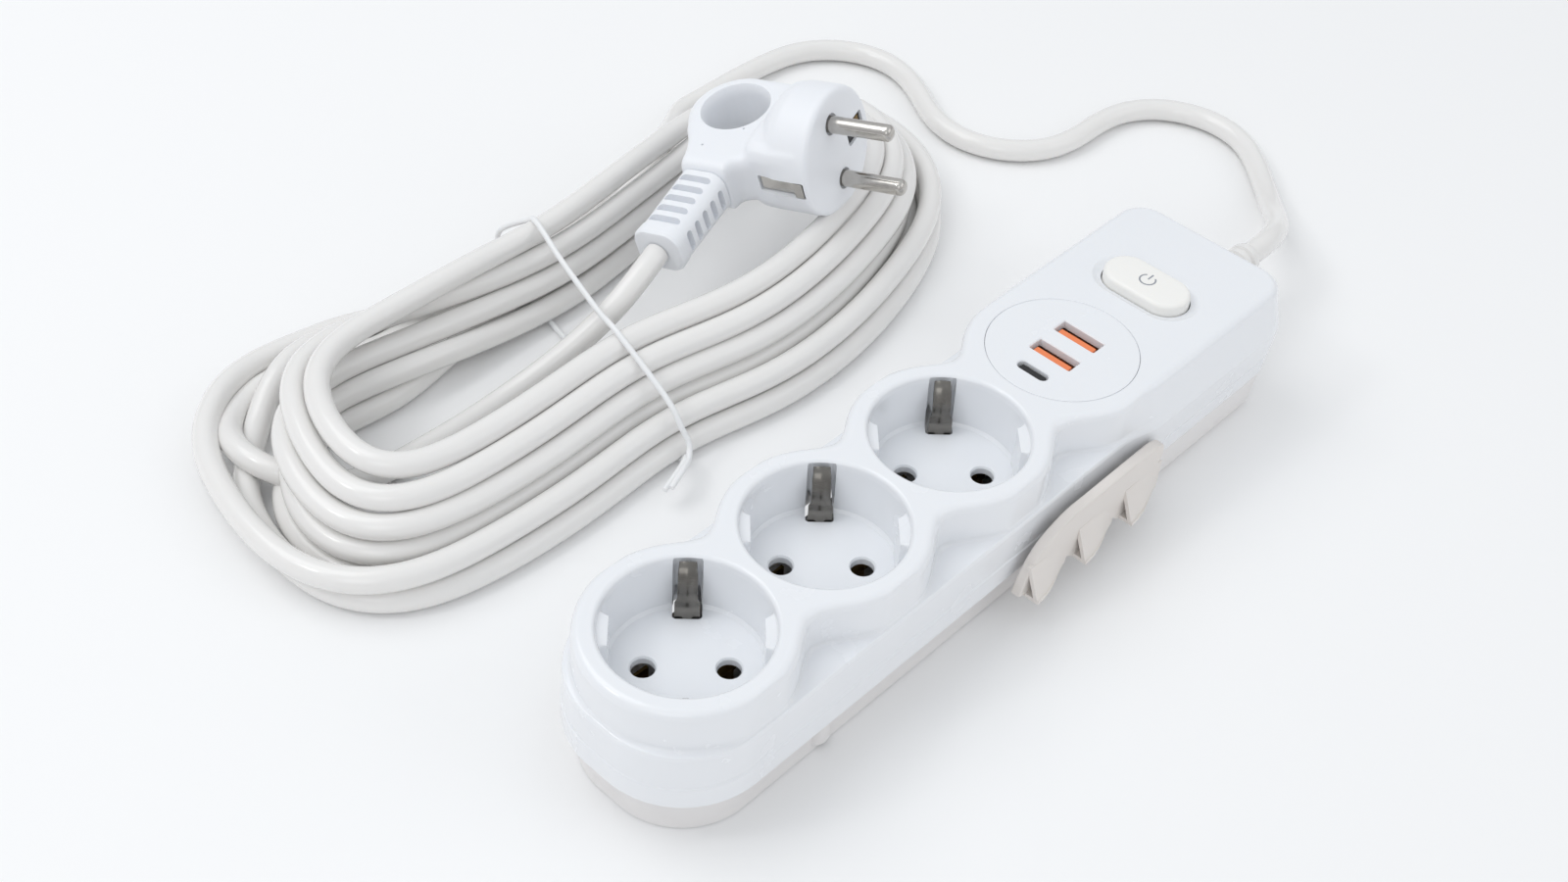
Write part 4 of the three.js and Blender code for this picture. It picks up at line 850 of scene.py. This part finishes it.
def make_plug_solid():
    """The plug before its holes: a round collar behind the pins, a saddle and a handle, eased together."""
    face = 18.3
    collar = turned("plug_body_skin", [
        (face - 11, -21.5), (face - 8, -19.5), (face - 4, -16.6), (face - 1.2, -13.6), (face, -11),
        (face, -1.3), (face - 0.4, -0.4), (face - 1.3, 0)], 96, place=ALONG_X)
    relief_half, relief_z = 7.3, RELIEF_START - 0.3
    handle_plan = np.vstack([
        resampled([(-11, 16.8), (-18, 17.4), (-22, 19.5), (AXIS_BACK + relief_half, relief_z)], 1.5),
        resampled([(AXIS_BACK - relief_half, relief_z), (-38.4, 18), (-41, 12), (-44.6, 6.8)], 1.5),
        arc(*RING_CENTRE, 14.6, 140, 268, 22),
        resampled([(-30, -17.4), (-22, -17.2), (-11, -16.6)], 1.5),
    ])
    saddle_plan = resampled([(-3, 17), (-14, 17.4), (-20, 15), (-21.5, 0), (-20, -15), (-14, -17.4),
                             (-3, -17)], 2)
    handle = plug_prism("handle", handle_plan, 8, 2.6)
    carve(collar, [handle, plug_prism("saddle", saddle_plan, 11, 4)], "UNION")
    remesh = collar.modifiers.new("even mesh", "REMESH")
    remesh.mode = "VOXEL"
    remesh.voxel_size = 0.55 * MM
    ease = collar.modifiers.new("ease edges", "SMOOTH")
    ease.factor = 0.5
    ease.iterations = 14
    bake(collar)
    return collar


def make_plug_body():
    """The over-moulded plug: finger ring, wells round the pins, earth hole, edge grooves and dimples."""
    body = make_plug_solid()
    half_ring = [(9.3, 4.5), (9.6, 6.6), (10.4, 8.2), (11.6, 10)]
    ring = [(radius, -y) for radius, y in reversed(half_ring)] + half_ring
    tools = [turned("ring_hole", ring, 96, place=shift(RING_CENTRE[0], 0, RING_CENTRE[1]) @ ALONG_Y)]
    for radius, start, end in ((3.1, -1.2, 2), (2.65, -11, 1)):
        tools += [turned("bore", [(radius, start), (radius, end)], 48, place=shift(y=y) @ ALONG_X)
                  for y in (PIN_REACH, -PIN_REACH)]
    socket = []
    for x, half_x, half_y, corner in ((-13, 3.3, 4.4, 0.8), (-0.25, 3.3, 4.4, 0.8), (0.6, 3.7, 4.8, 1.0)):
        outline = rounded_rect(half_x, half_y, corner, 6)
        socket.append(np.column_stack([np.full(len(outline), x), outline]))
    tools.append(stacked("earth_hole", socket, shift(z=-10.4)))
    for low in (15.6, -19):
        groove = rounded_rect(7.4, 2.7, 0.6, 5, -8.6)
        tools.append(stacked("groove", [ring_at(groove, z) for z in (low, low + 3.4)]))
    for x, y, z in ((-25.5, 7.4, 5.5), (-14, 13.5, -12.5), (-34, 7.4, 14.5)):
        tools.append(turned("dimple", [(0.35, 0), (0.55, 9)], 16, place=shift(x, y, z) @ ALONG_Y))
    carve(body, [face_out(tool) for tool in tools])
    body.data.transform(PLUG)
    return body


def make_plug_relief():
    """The plug's strain relief: a tapering sleeve with rows of slots on all four sides."""
    rows, pitch = 5, 4.2
    end = RELIEF_START + 27

    def outline(grow):
        return rounded_rect(7.25 + grow, 6.5 + grow, 4.6 + grow, 10, AXIS_BACK)

    sleeve = stacked("plug_relief_sleeve", [ring_at(outline(grow), z) for grow, z in (
        (-0.5, RELIEF_START - 0.25), (0, RELIEF_START + 0.4), (-0.2, end - 5), (0.1, end - 4.2),
        (0.25, end - 1.2), (-0.2, end - 0.4), (-1.2, end))])
    wide = rounded_rect(4.9, 1.15, 1.1, 6, AXIS_BACK)
    narrow = rounded_rect(3.2, 1.1, 1.05, 6)
    tools = []
    for k in range(rows):
        z = RELIEF_START + 3.6 + k * pitch
        for side in (1, -1):
            tools.append(stacked("slot", [upright(wide + (0, z), side * y) for y in (4.0, 8.5)]))
            rings = [np.column_stack([np.full(len(narrow), AXIS_BACK + side * x), narrow + (0, z)])
                     for x in (4.8, 8.8)]
            tools.append(stacked("slot", rings))
    carve(sleeve, [face_out(tool) for tool in tools])
    sleeve.data.transform(PLUG)
    return sleeve


def plug_box(name, low, high):
    """A small box in the plug's own axes."""
    low, high = np.array(low, float), np.array(high, float)
    half, centre = (high - low) / 2, (high + low) / 2
    outline = rounded_rect(half[0], half[1], 0.12, 2, centre[0]) + (0, centre[1])
    return stacked(name, [ring_at(outline, z) for z in (low[2], high[2])])


def make_plug_contact(side):
    """An earth contact: a strip in the groove of the plug's edge with a lug at the face."""
    inner, thin, thick = 16.1, 0.5, 1.9
    low, high = sorted((inner * side, (inner + thin) * side))
    strip = plug_box(f"plug_contact_{side}", (-15.6, -2.3, low), (-1.6, 2.3, high))
    low, high = sorted((inner * side, (inner + thick) * side))
    carve(strip, [plug_box("lug", (-4.4, -2.4, low), (-1.7, 2.4, high))], "UNION")
    strip.data.transform(PLUG)
    return strip


def make_earth_hole_shade_and_leaf():
    """What shows in the hole for an earth pin: a dark block deep in it, painted shade of the hole's depth,
    and a brass leaf.
    """
    # painted shade: a dark block that stands in for the shade deep in the earth hole
    shade_block = plug_box("earth_hole_painted_shade", (-12.8, -3.2, -14.7), (-0.8, 3.2, -6.1))
    leaf = plug_box("face_leaf", (-12, -0.6, -13.4), (-0.35, 2.6, -7.6))
    for piece in (shade_block, leaf):
        piece.data.transform(PLUG)
    return shade_block, leaf


def make_plug_pin(index):
    """A plug pin with a rounded tip."""
    side = 1 if index == 1 else -1
    radius, length, tip = 2.4, 19, 1.5
    profile = [(radius, -10.7), (radius, length - 2.2), *arc(radius - tip, length - tip, tip, 20, 90, 6),
               (0.3, length + 0.02)]
    return turned(f"plug_pin_{index}_turned", profile, 48, place=PLUG @ shift(y=side * PIN_REACH) @ ALONG_X)


# ---- materials ----------------------------------------------------------
def new_node(tree, kind, values=None, **attributes):
    """A node with its attributes and input values set."""
    node = tree.nodes.new(kind)
    for name, value in attributes.items():
        setattr(node, name, value)
    for label, value in (values or {}).items():
        node.inputs[label].default_value = value
    return node


def node_group(name, inputs):
    """A group with the given inputs, whose outputs are a colour, a roughness and a height."""
    group = bpy.data.node_groups.new(name, "ShaderNodeTree")
    for label, value in inputs.items():
        kind = "NodeSocketFloat" if isinstance(value, float) else "NodeSocketColor"
        group.interface.new_socket(label, in_out="INPUT", socket_type=kind).default_value = value
    for label, kind in (("Colour", "NodeSocketColor"), ("Roughness", "NodeSocketFloat"),
                        ("Height", "NodeSocketFloat")):
        group.interface.new_socket(label, in_out="OUTPUT", socket_type=kind)
    return group, new_node(group, "NodeGroupInput").outputs, new_node(group, "NodeGroupOutput").inputs


def noise(group, scale, detail, place):
    """The value of a noise texture over a place."""
    node = new_node(group, "ShaderNodeTexNoise", {"Scale": scale, "Detail": detail})
    group.links.new(place, node.inputs["Vector"])
    return node.outputs["Fac"]


def blend(group, share, under, over):
    """A colour between two others."""
    mix = new_node(group, "ShaderNodeMix", data_type="RGBA")
    for label, socket in (("Factor", share), ("A", under), ("B", over)):
        group.links.new(socket, mix.inputs[label])
    return mix.outputs["Result"]


def worked_out(group, operation, *terms, clamp=False):
    """The result of a sum; each term is a socket or a number."""
    node = new_node(group, "ShaderNodeMath", operation=operation, use_clamp=clamp)
    for k, term in enumerate(terms):
        if isinstance(term, float):
            node.inputs[k].default_value = term
        else:
            group.links.new(term, node.inputs[k])
    return node.outputs[0]


def spread(group, value, limits):
    """A value mapped to other limits."""
    node = new_node(group, "ShaderNodeMapRange", limits)
    group.links.new(value, node.inputs["Value"])
    return node.outputs["Result"]


def moulded_skin_group():
    """Moulded plastic: cloudy tone, faint sink marks and a fine grain."""
    group, given, result = node_group("moulded_skin", {
        "Colour": (1, 1, 1, 1), "Tone": (0.9, 0.9, 0.9, 1), "Tone amount": 0.3, "Roughness": 0.3,
        "Grain": 0.2})
    place = new_node(group, "ShaderNodeTexCoord").outputs["Object"]
    cloud = noise(group, 28, 4, place)
    grain = noise(group, 2600, 3, place)
    smudge = noise(group, 75, 6, place)
    share = worked_out(group, "MULTIPLY", cloud, given["Tone amount"])
    smudges = spread(group, smudge, {"To Min": -0.07, "To Max": 0.09})
    group.links.new(blend(group, share, given["Colour"], given["Tone"]), result["Colour"])
    group.links.new(worked_out(group, "ADD", given["Roughness"], smudges, clamp=True), result["Roughness"])
    group.links.new(worked_out(group, "MULTIPLY_ADD", grain, given["Grain"], cloud), result["Height"])
    return group


def drawn_metal_group():
    """Plated or stamped metal: drawing lines and spots of tarnish."""
    group, given, result = node_group("drawn_metal", {
        "Colour": (0.6, 0.6, 0.6, 1), "Tarnish": (0.3, 0.28, 0.25, 1), "Roughness": 0.25})
    place = new_node(group, "ShaderNodeTexCoord").outputs["Object"]
    stretch = new_node(group, "ShaderNodeMapping", {"Scale": (900, 120, 2400)})
    group.links.new(place, stretch.inputs["Vector"])
    lines = noise(group, 1, 3, stretch.outputs["Vector"])
    spots = spread(group, noise(group, 190, 5, place), {"From Min": 0.5, "From Max": 0.75, "To Max": 0.5})
    rough = worked_out(group, "MULTIPLY_ADD", lines, 0.18, given["Roughness"], clamp=True)
    group.links.new(blend(group, spots, given["Colour"], given["Tarnish"]), result["Colour"])
    group.links.new(rough, result["Roughness"])
    group.links.new(lines, result["Height"])
    return group


def grouped_material(name, group, values, bump_height, settings):
    """A Principled material fed by a group's Colour, Roughness and Height."""
    material = bpy.data.materials.new(name)
    material.use_nodes = True
    tree = material.node_tree
    shader = next(node for node in tree.nodes if node.type == "BSDF_PRINCIPLED")
    skin = tree.nodes.new("ShaderNodeGroup")
    skin.node_tree = group
    for label, value in values.items():
        skin.inputs[label].default_value = value
    bump = new_node(tree, "ShaderNodeBump", {"Strength": 0.35, "Distance": bump_height * MM})
    tree.links.new(skin.outputs["Colour"], shader.inputs["Base Color"])
    tree.links.new(skin.outputs["Roughness"], shader.inputs["Roughness"])
    tree.links.new(skin.outputs["Height"], bump.inputs["Height"])
    tree.links.new(bump.outputs["Normal"], shader.inputs["Normal"])
    for label, value in {"Coat Roughness": 0.08, **settings}.items():
        shader.inputs[label].default_value = value
    MATERIALS[name] = material


MATERIALS = {}
WHITES = {
    # slot: (colour, roughness, grain, coat)
    "shell_white": ((0.86, 0.875, 0.9), 0.24, 0.05, 0.35),
    "tray_white": ((0.84, 0.82, 0.81), 0.38, 0.25, 0.0),
    # tray_white is darker and warmer than shell_white: painted shade of the tray's shaded lower side
    "button_cream": ((0.93, 0.918, 0.882), 0.36, 0.3, 0.0),
    # comb_beige is the strip's white plastic made darker and warmer: painted shade of the comb's side, which
    # faces away from the light
    "comb_beige": ((0.79, 0.745, 0.705), 0.42, 0.35, 0.0),
    "plug_white": ((0.885, 0.9, 0.93), 0.4, 0.35, 0.0),
    "cord_white": ((0.85, 0.835, 0.815), 0.2, 0.1, 0.3),
    "tie_white": ((0.88, 0.885, 0.89), 0.4, 0.1, 0.0),
}
TINTED = {
    # slot: (colour, roughness)
    "usb_orange": ((0.98, 0.27, 0.1), 0.4),
    "dark_plastic": ((0.018, 0.018, 0.02), 0.5),
    "board_green": ((0.02, 0.13, 0.05), 0.45),
    "winding_tape": ((0.6, 0.33, 0.05), 0.4),
    "core_brown": ((0.16, 0.06, 0.025), 0.4),
    "core_blue": ((0.03, 0.09, 0.33), 0.4),
    "core_green_yellow": ((0.22, 0.42, 0.04), 0.4),
    "print_grey": ((0.3, 0.32, 0.36), 0.5),
}
METALS = {
    # slot: (colour, roughness)
    # contact_brass is far darker than brass: painted shade of the deep holes where the socket contacts and
    # the plug's leaf sit
    "contact_brass": ((0.2, 0.13, 0.05), 0.35),
    "pin_nickel": ((0.56, 0.54, 0.51), 0.1),
    # clip_nickel is pin_nickel at about a third of its brightness: painted shade of the socket recesses where
    # the earth clips stand; the plug's earth contacts take pin_nickel instead
    "clip_nickel": ((0.2, 0.19, 0.175), 0.14),
    "screw_steel": ((0.5, 0.5, 0.5), 0.28),
}


def faded(colour, *shares):
    """A colour with each of its parts multiplied by a share."""
    return (*(part * share for part, share in zip(colour, shares)), 1)


def make_materials():
    """Fills MATERIALS with one finish for each slot."""
    skin = moulded_skin_group()
    metal = drawn_metal_group()
    glow = {"Subsurface Weight": 0.06, "Subsurface Radius": (1.0, 0.9, 0.8), "Subsurface Scale": 1.5 * MM}
    for name, (colour, rough, grain, coat) in WHITES.items():
        grouped_material(name, skin, {
            "Colour": (*colour, 1), "Tone": faded(colour, 0.955, 0.965, 0.975), "Tone amount": 0.6,
            "Roughness": rough, "Grain": grain}, 0.05, {"Coat Weight": coat, **glow})
    for name, (colour, rough) in TINTED.items():
        grouped_material(name, skin, {
            "Colour": (*colour, 1), "Tone": faded(colour, 0.75, 0.75, 0.75), "Tone amount": 0.8,
            "Roughness": rough, "Grain": 0.5}, 0.06, {})
    for name, (colour, rough) in METALS.items():
        grouped_material(name, metal, {
            "Colour": (*colour, 1), "Tarnish": faded(colour, 0.55, 0.55, 0.55), "Roughness": rough},
            0.03, {"Metallic": 1.0})


# ---- settings -----------------------------------------------------------
class CordSettings(bpy.types.PropertyGroup):
    diameter: FloatProperty(name="Diameter", description="Outside diameter of the sheath",
                            default=2 * CORD_RADIUS * MM, unit="LENGTH")
    length: FloatProperty(name="Length", description="Length of the whole cord from relief to relief",
                          default=4.4, unit="LENGTH")
    tie_radius: FloatProperty(name="Tie radius", description="Radius of the coated tie wire",
                              default=0.8 * MM, unit="LENGTH")


class StageSettings(bpy.types.PropertyGroup):
    floor_colour: FloatVectorProperty(name="Floor", description="Colour of the plain floor",
                                      subtype="COLOR", size=3, default=(0.93, 0.93, 0.93), min=0, max=1)
    key_power: FloatProperty(name="Key light", description="Power of the large overhead light",
                             default=5.1, unit="POWER")
    sky_strength: FloatProperty(name="Sky", description="Strength of the even light from all round",
                                default=0.78)


# ---- operators ----------------------------------------------------------
class LEAD_OT_materials(bpy.types.Operator):
    """Makes the finishes and gives the carried-over inner parts theirs"""
    bl_idname = "lead.materials"
    bl_label = "Finishes"

    def execute(self, context):
        make_materials()
        slots = {part["node"]: part["material_slot"] for part in frame["record"]["subparts"]}
        for node, piece in frame["nodes"].items():
            piece.data.materials.clear()
            piece.data.materials.append(MATERIALS[slots[node]])
        return {"FINISHED"}


class LEAD_OT_cord(bpy.types.Operator):
    """Lays the whole cord: run, coil and lead to the plug"""
    bl_idname = "lead.cord"
    bl_label = "Cord"

    def execute(self, context):
        radius = context.scene.lead_cord.diameter / 2
        cord = round_bar("mains_cord", "NURBS", cord_route(), radius, 6)
        spline = cord.data.splines[0]
        spline.order_u = 4
        spline.use_endpoint_u = True
        spline.resolution_u = 3
        place_piece(cord, "cord_white", "cord_run", "plug_lead", "cord_coil")
        return {"FINISHED"}


def tie_path(route, radius):
    """Points of the tie: round the bundle on both sides of the coil and twisted at the near side."""
    near = [p for p in route if abs(p[0] - TIE_X) < 4 and p[1] < 100]
    far = [p for p in route if abs(p[0] - TIE_X - TIE_SLANT) < 4 and p[1] > 130]
    reach = CORD_RADIUS + 0.8
    low = min(p[1] for p in near) - reach                # the bundle's near and far edges
    high = max(p[1] for p in far) + reach
    _, near_y, near_z = max(near, key=lambda p: p[2])     # the highest strand on each side
    _, far_y, far_z = max(far, key=lambda p: p[2])
    near_x, far_x = TIE_X - 4, TIE_X + 14
    clear = CORD_RADIUS + radius
    return [
        # the first twisted end, and down to the floor
        (near_x - 14, low - 7, 5.6), (near_x - 7, low - 5, 6.6), (near_x - 1, low - 1.6, 5),
        (near_x, low + 1, 1.6),
        # under the coil
        (near_x + 1, low + 6, 0.9), (near_x + 8, (low + high) / 2, 0.9), (far_x - 1, high - 6, 0.9),
        # up the far side and over its top
        (far_x, high - 0.6, 2), (far_x, high, 6), (far_x, high - 1, 14), (far_x, far_y + 4, far_z + 1.5),
        (far_x - 1, far_y - 1, far_z + clear), (far_x - 5, far_y - 14, far_z + clear - 1.4),
        # across to the near side's top
        ((near_x + far_x) / 2, (near_y + far_y) / 2, (near_z + far_z) / 2 + clear - 2),
        (near_x + 3, near_y + 10, near_z + clear - 0.6), (near_x + 0.4, near_y, near_z + clear),
        # down the near side to the other twisted end
        (near_x, low + 7, 19), (near_x, low + 1, 12), (near_x + 0.6, low - 0.8, 8.4),
        (near_x - 2, low - 3.4, 6.2), (near_x - 7, low - 6.4, 7.6), (near_x - 13, low - 8.4, 6.8),
    ]


class LEAD_OT_wire_tie(bpy.types.Operator):
    """Ties the coil with a coated wire"""
    bl_idname = "lead.wire_tie"
    bl_label = "Wire tie"

    def execute(self, context):
        radius = context.scene.lead_cord.tie_radius
        cord = bpy.data.objects["mains_cord"]
        route = np.array([point.co[:3] for point in cord.data.splines[0].points]) / MM
        points = resampled(tie_path(route, radius / MM), 2.0)
        place_piece(round_bar("coil_tie", "POLY", points, radius, 4), "tie_white", "wire_tie")
        return {"FINISHED"}


class LEAD_OT_shells(bpy.types.Operator):
    """Makes the strip's upper and lower shells"""
    bl_idname = "lead.shells"
    bl_label = "Shells"

    def execute(self, context):
        place_piece(make_top_shell(), "shell_white", "top_shell")
        # the tray's finish holds painted shade of the strip's lower side
        place_piece(make_bottom_tray(), "tray_white", "bottom_tray")
        return {"FINISHED"}


class LEAD_OT_sockets(bpy.types.Operator):
    """Makes the earth clip of each socket"""
    bl_idname = "lead.sockets"
    bl_label = "Earth clips"

    def execute(self, context):
        for index, x in enumerate(SOCKET_X, 1):
            # the earth clips take clip_nickel, a darkened nickel that paints in the shade of the recesses
            place_piece(make_earth_clip(index, x), "clip_nickel", f"earth_clip_{index}", angle=50)
        return {"FINISHED"}


class LEAD_OT_usb(bpy.types.Operator):
    """Makes the round plate of the USB ports"""
    bl_idname = "lead.usb"
    bl_label = "USB plate"

    def execute(self, context):
        place_piece(make_usb_plate(), "shell_white", "usb_plate")
        for node, slot, depth, grow in (("usb_a_tongue_1", "usb_orange", 1.1, 0.35),
                                        ("usb_a_tongue_2", "usb_orange", 1.1, 0.35),
                                        ("usb_c_tongue", "dark_plastic", 0.9, 0.5)):
            place_piece(make_usb_tongue(node, depth, grow), slot, node)
        return {"FINISHED"}


class LEAD_OT_button(bpy.types.Operator):
    """Makes the power button and its printed mark"""
    bl_idname = "lead.button"
    bl_label = "Power button"

    def execute(self, context):
        place_piece(make_power_button(), "button_cream", "power_button", body="button")
        place_piece(make_power_mark(), "button_cream", body="button", finish="print_grey")
        return {"FINISHED"}


class LEAD_OT_comb(bpy.types.Operator):
    """Makes the cable comb on the strip's side"""
    bl_idname = "lead.comb"
    bl_label = "Cable comb"

    def execute(self, context):
        # comb_beige carries painted shade of the comb's shaded side in its colour
        place_piece(make_cable_comb(), "comb_beige", "cable_comb")
        return {"FINISHED"}


class LEAD_OT_plug(bpy.types.Operator):
    bl_idname = "lead.plug"
    bl_label = "Plug"

    def execute(self, context):
        body = place_piece(make_plug_body(), "plug_white", "plug_body", angle=40)
        relief = place_piece(make_plug_relief(), "plug_white", "plug_relief")
        pins = [place_piece(make_plug_pin(i), "pin_nickel", f"plug_pin_{i}") for i in (1, 2)]
        place_piece(make_cord_relief(), "cord_white", "cord_relief")
        contacts = [place_piece(make_plug_contact(side), "clip_nickel", f"plug_earth_contact_{i}",
                                finish="pin_nickel") for i, side in ((1, 1), (2, -1))]
        shade_block, leaf = make_earth_hole_shade_and_leaf()
        # the dark block is painted shade of the earth hole's depth; dark_plastic is also the USB-C tongue's
        # own black
        contacts.append(place_piece(shade_block, "dark_plastic"))
        contacts.append(place_piece(leaf, "contact_brass"))
        return {"FINISHED"}


# The camera's place in the strip's frame, its turn, drop and roll in degrees, and its lens.
CAMERA_PLACE = (-279.25, -192.57, 356.80)
CAMERA_TURN = 41.09
CAMERA_DROP = 43.76
CAMERA_ROLL = 3.89
CAMERA_LENS = 44.587


class LEAD_OT_stage(bpy.types.Operator):
    """Sets up the camera, a plain floor and soft studio light"""
    bl_idname = "lead.stage"
    bl_label = "Stage"

    def execute(self, context):
        scene = context.scene
        turn, drop, roll = (math.radians(a) for a in (CAMERA_TURN, CAMERA_DROP, CAMERA_ROLL))
        ahead = Vector((math.cos(drop) * math.cos(turn), math.cos(drop) * math.sin(turn), -math.sin(drop)))
        level = ahead.cross(Vector((0, 0, 1))).normalized()
        up = level.cross(ahead)
        right = math.cos(roll) * level + math.sin(roll) * up
        up = right.cross(ahead)
        data = bpy.data.cameras.new("camera")
        data.lens = CAMERA_LENS
        data.sensor_width = 36
        data.clip_start = 0.01
        camera = bpy.data.objects.new("camera", data)
        camera.matrix_world = shift(*CAMERA_PLACE) @ Matrix((right, up, -ahead)).transposed().to_4x4()
        scene.collection.objects.link(camera)
        scene.camera = camera

        stage = scene.lead_stage
        half = 3000
        floor = new_piece("floor", [(x, y, 0) for x, y in ((-half, -half), (half, -half), (half, half),
                                                           (-half, half))], [(0, 1, 2, 3)])
        floor.location.z = -0.2 * MM
        material = bpy.data.materials.new("floor")
        material.use_nodes = True
        shader = next(node for node in material.node_tree.nodes if node.type == "BSDF_PRINCIPLED")
        shader.inputs["Base Color"].default_value = (*stage.floor_colour, 1)
        shader.inputs["Roughness"].default_value = 0.9
        floor.data.materials.append(material)

        world = bpy.data.worlds.new("studio")
        world.use_nodes = True
        tree = world.node_tree
        background = tree.nodes["Background"]
        background.inputs["Strength"].default_value = stage.sky_strength
        way = tree.nodes.new("ShaderNodeTexCoord")
        split = tree.nodes.new("ShaderNodeSeparateXYZ")
        ramp = tree.nodes.new("ShaderNodeValToRGB")
        ramp.color_ramp.elements[0].color = (0.66, 0.655, 0.67, 1)
        ramp.color_ramp.elements[1].position = 0.75
        ramp.color_ramp.elements[1].color = (0.94, 0.97, 1, 1)
        tree.links.new(way.outputs["Generated"], split.inputs[0])
        tree.links.new(split.outputs["Z"], ramp.inputs["Fac"])
        tree.links.new(ramp.outputs["Color"], background.inputs["Color"])
        scene.world = world
        scene.view_settings.view_transform = "Standard"
        for name, place, aim, size, power in (
                ("key", (-0.35, 0.75, 1.3), (0, 0.08, 0), 1.0, stage.key_power),
                ("side", (-1.1, -0.5, 0.9), (0, 0.05, 0), 0.7, stage.key_power * 0.34),
                ("fill", (0.7, -1.1, 0.8), (0, 0, 0), 1.0, stage.key_power * 0.4),
                ("spark", (-0.7, 0.45, 0.9), (0, 0.1, 0), 0.18, stage.key_power * 0.16)):
            lamp = bpy.data.lights.new(name, "AREA")
            lamp.size = size
            lamp.energy = power
            light = bpy.data.objects.new(name, lamp)
            light.location = place
            light.rotation_euler = (Vector(aim) - Vector(place)).to_track_quat("-Z", "Y").to_euler()
            scene.collection.objects.link(light)
        return {"FINISHED"}


OPERATORS = (LEAD_OT_stage, LEAD_OT_materials, LEAD_OT_cord, LEAD_OT_wire_tie, LEAD_OT_shells,
             LEAD_OT_sockets, LEAD_OT_usb, LEAD_OT_button, LEAD_OT_comb, LEAD_OT_plug)


class LEAD_PT_panel(bpy.types.Panel):
    """Lists the pieces of the socket strip"""
    bl_idname = "LEAD_PT_panel"
    bl_label = "Socket strip"
    bl_space_type = "VIEW_3D"
    bl_region_type = "UI"
    bl_category = "Socket strip"

    def draw(self, context):
        for settings in (context.scene.lead_cord, context.scene.lead_stage):
            for name in settings.__annotations__:
                self.layout.prop(settings, name)
        for operator in OPERATORS:
            self.layout.operator(operator.bl_idname)


CLASSES = (CordSettings, StageSettings, *OPERATORS, LEAD_PT_panel)


def register():
    for item in CLASSES:
        bpy.utils.register_class(item)
    bpy.types.Scene.lead_cord = PointerProperty(type=CordSettings)
    bpy.types.Scene.lead_stage = PointerProperty(type=StageSettings)


def unregister():
    del bpy.types.Scene.lead_stage
    del bpy.types.Scene.lead_cord
    for item in reversed(CLASSES):
        bpy.utils.unregister_class(item)


def main():
    register()
    for operator in OPERATORS:
        getattr(bpy.ops.lead, operator.bl_idname.split(".")[1])()


if __name__ == "__main__":
    main()
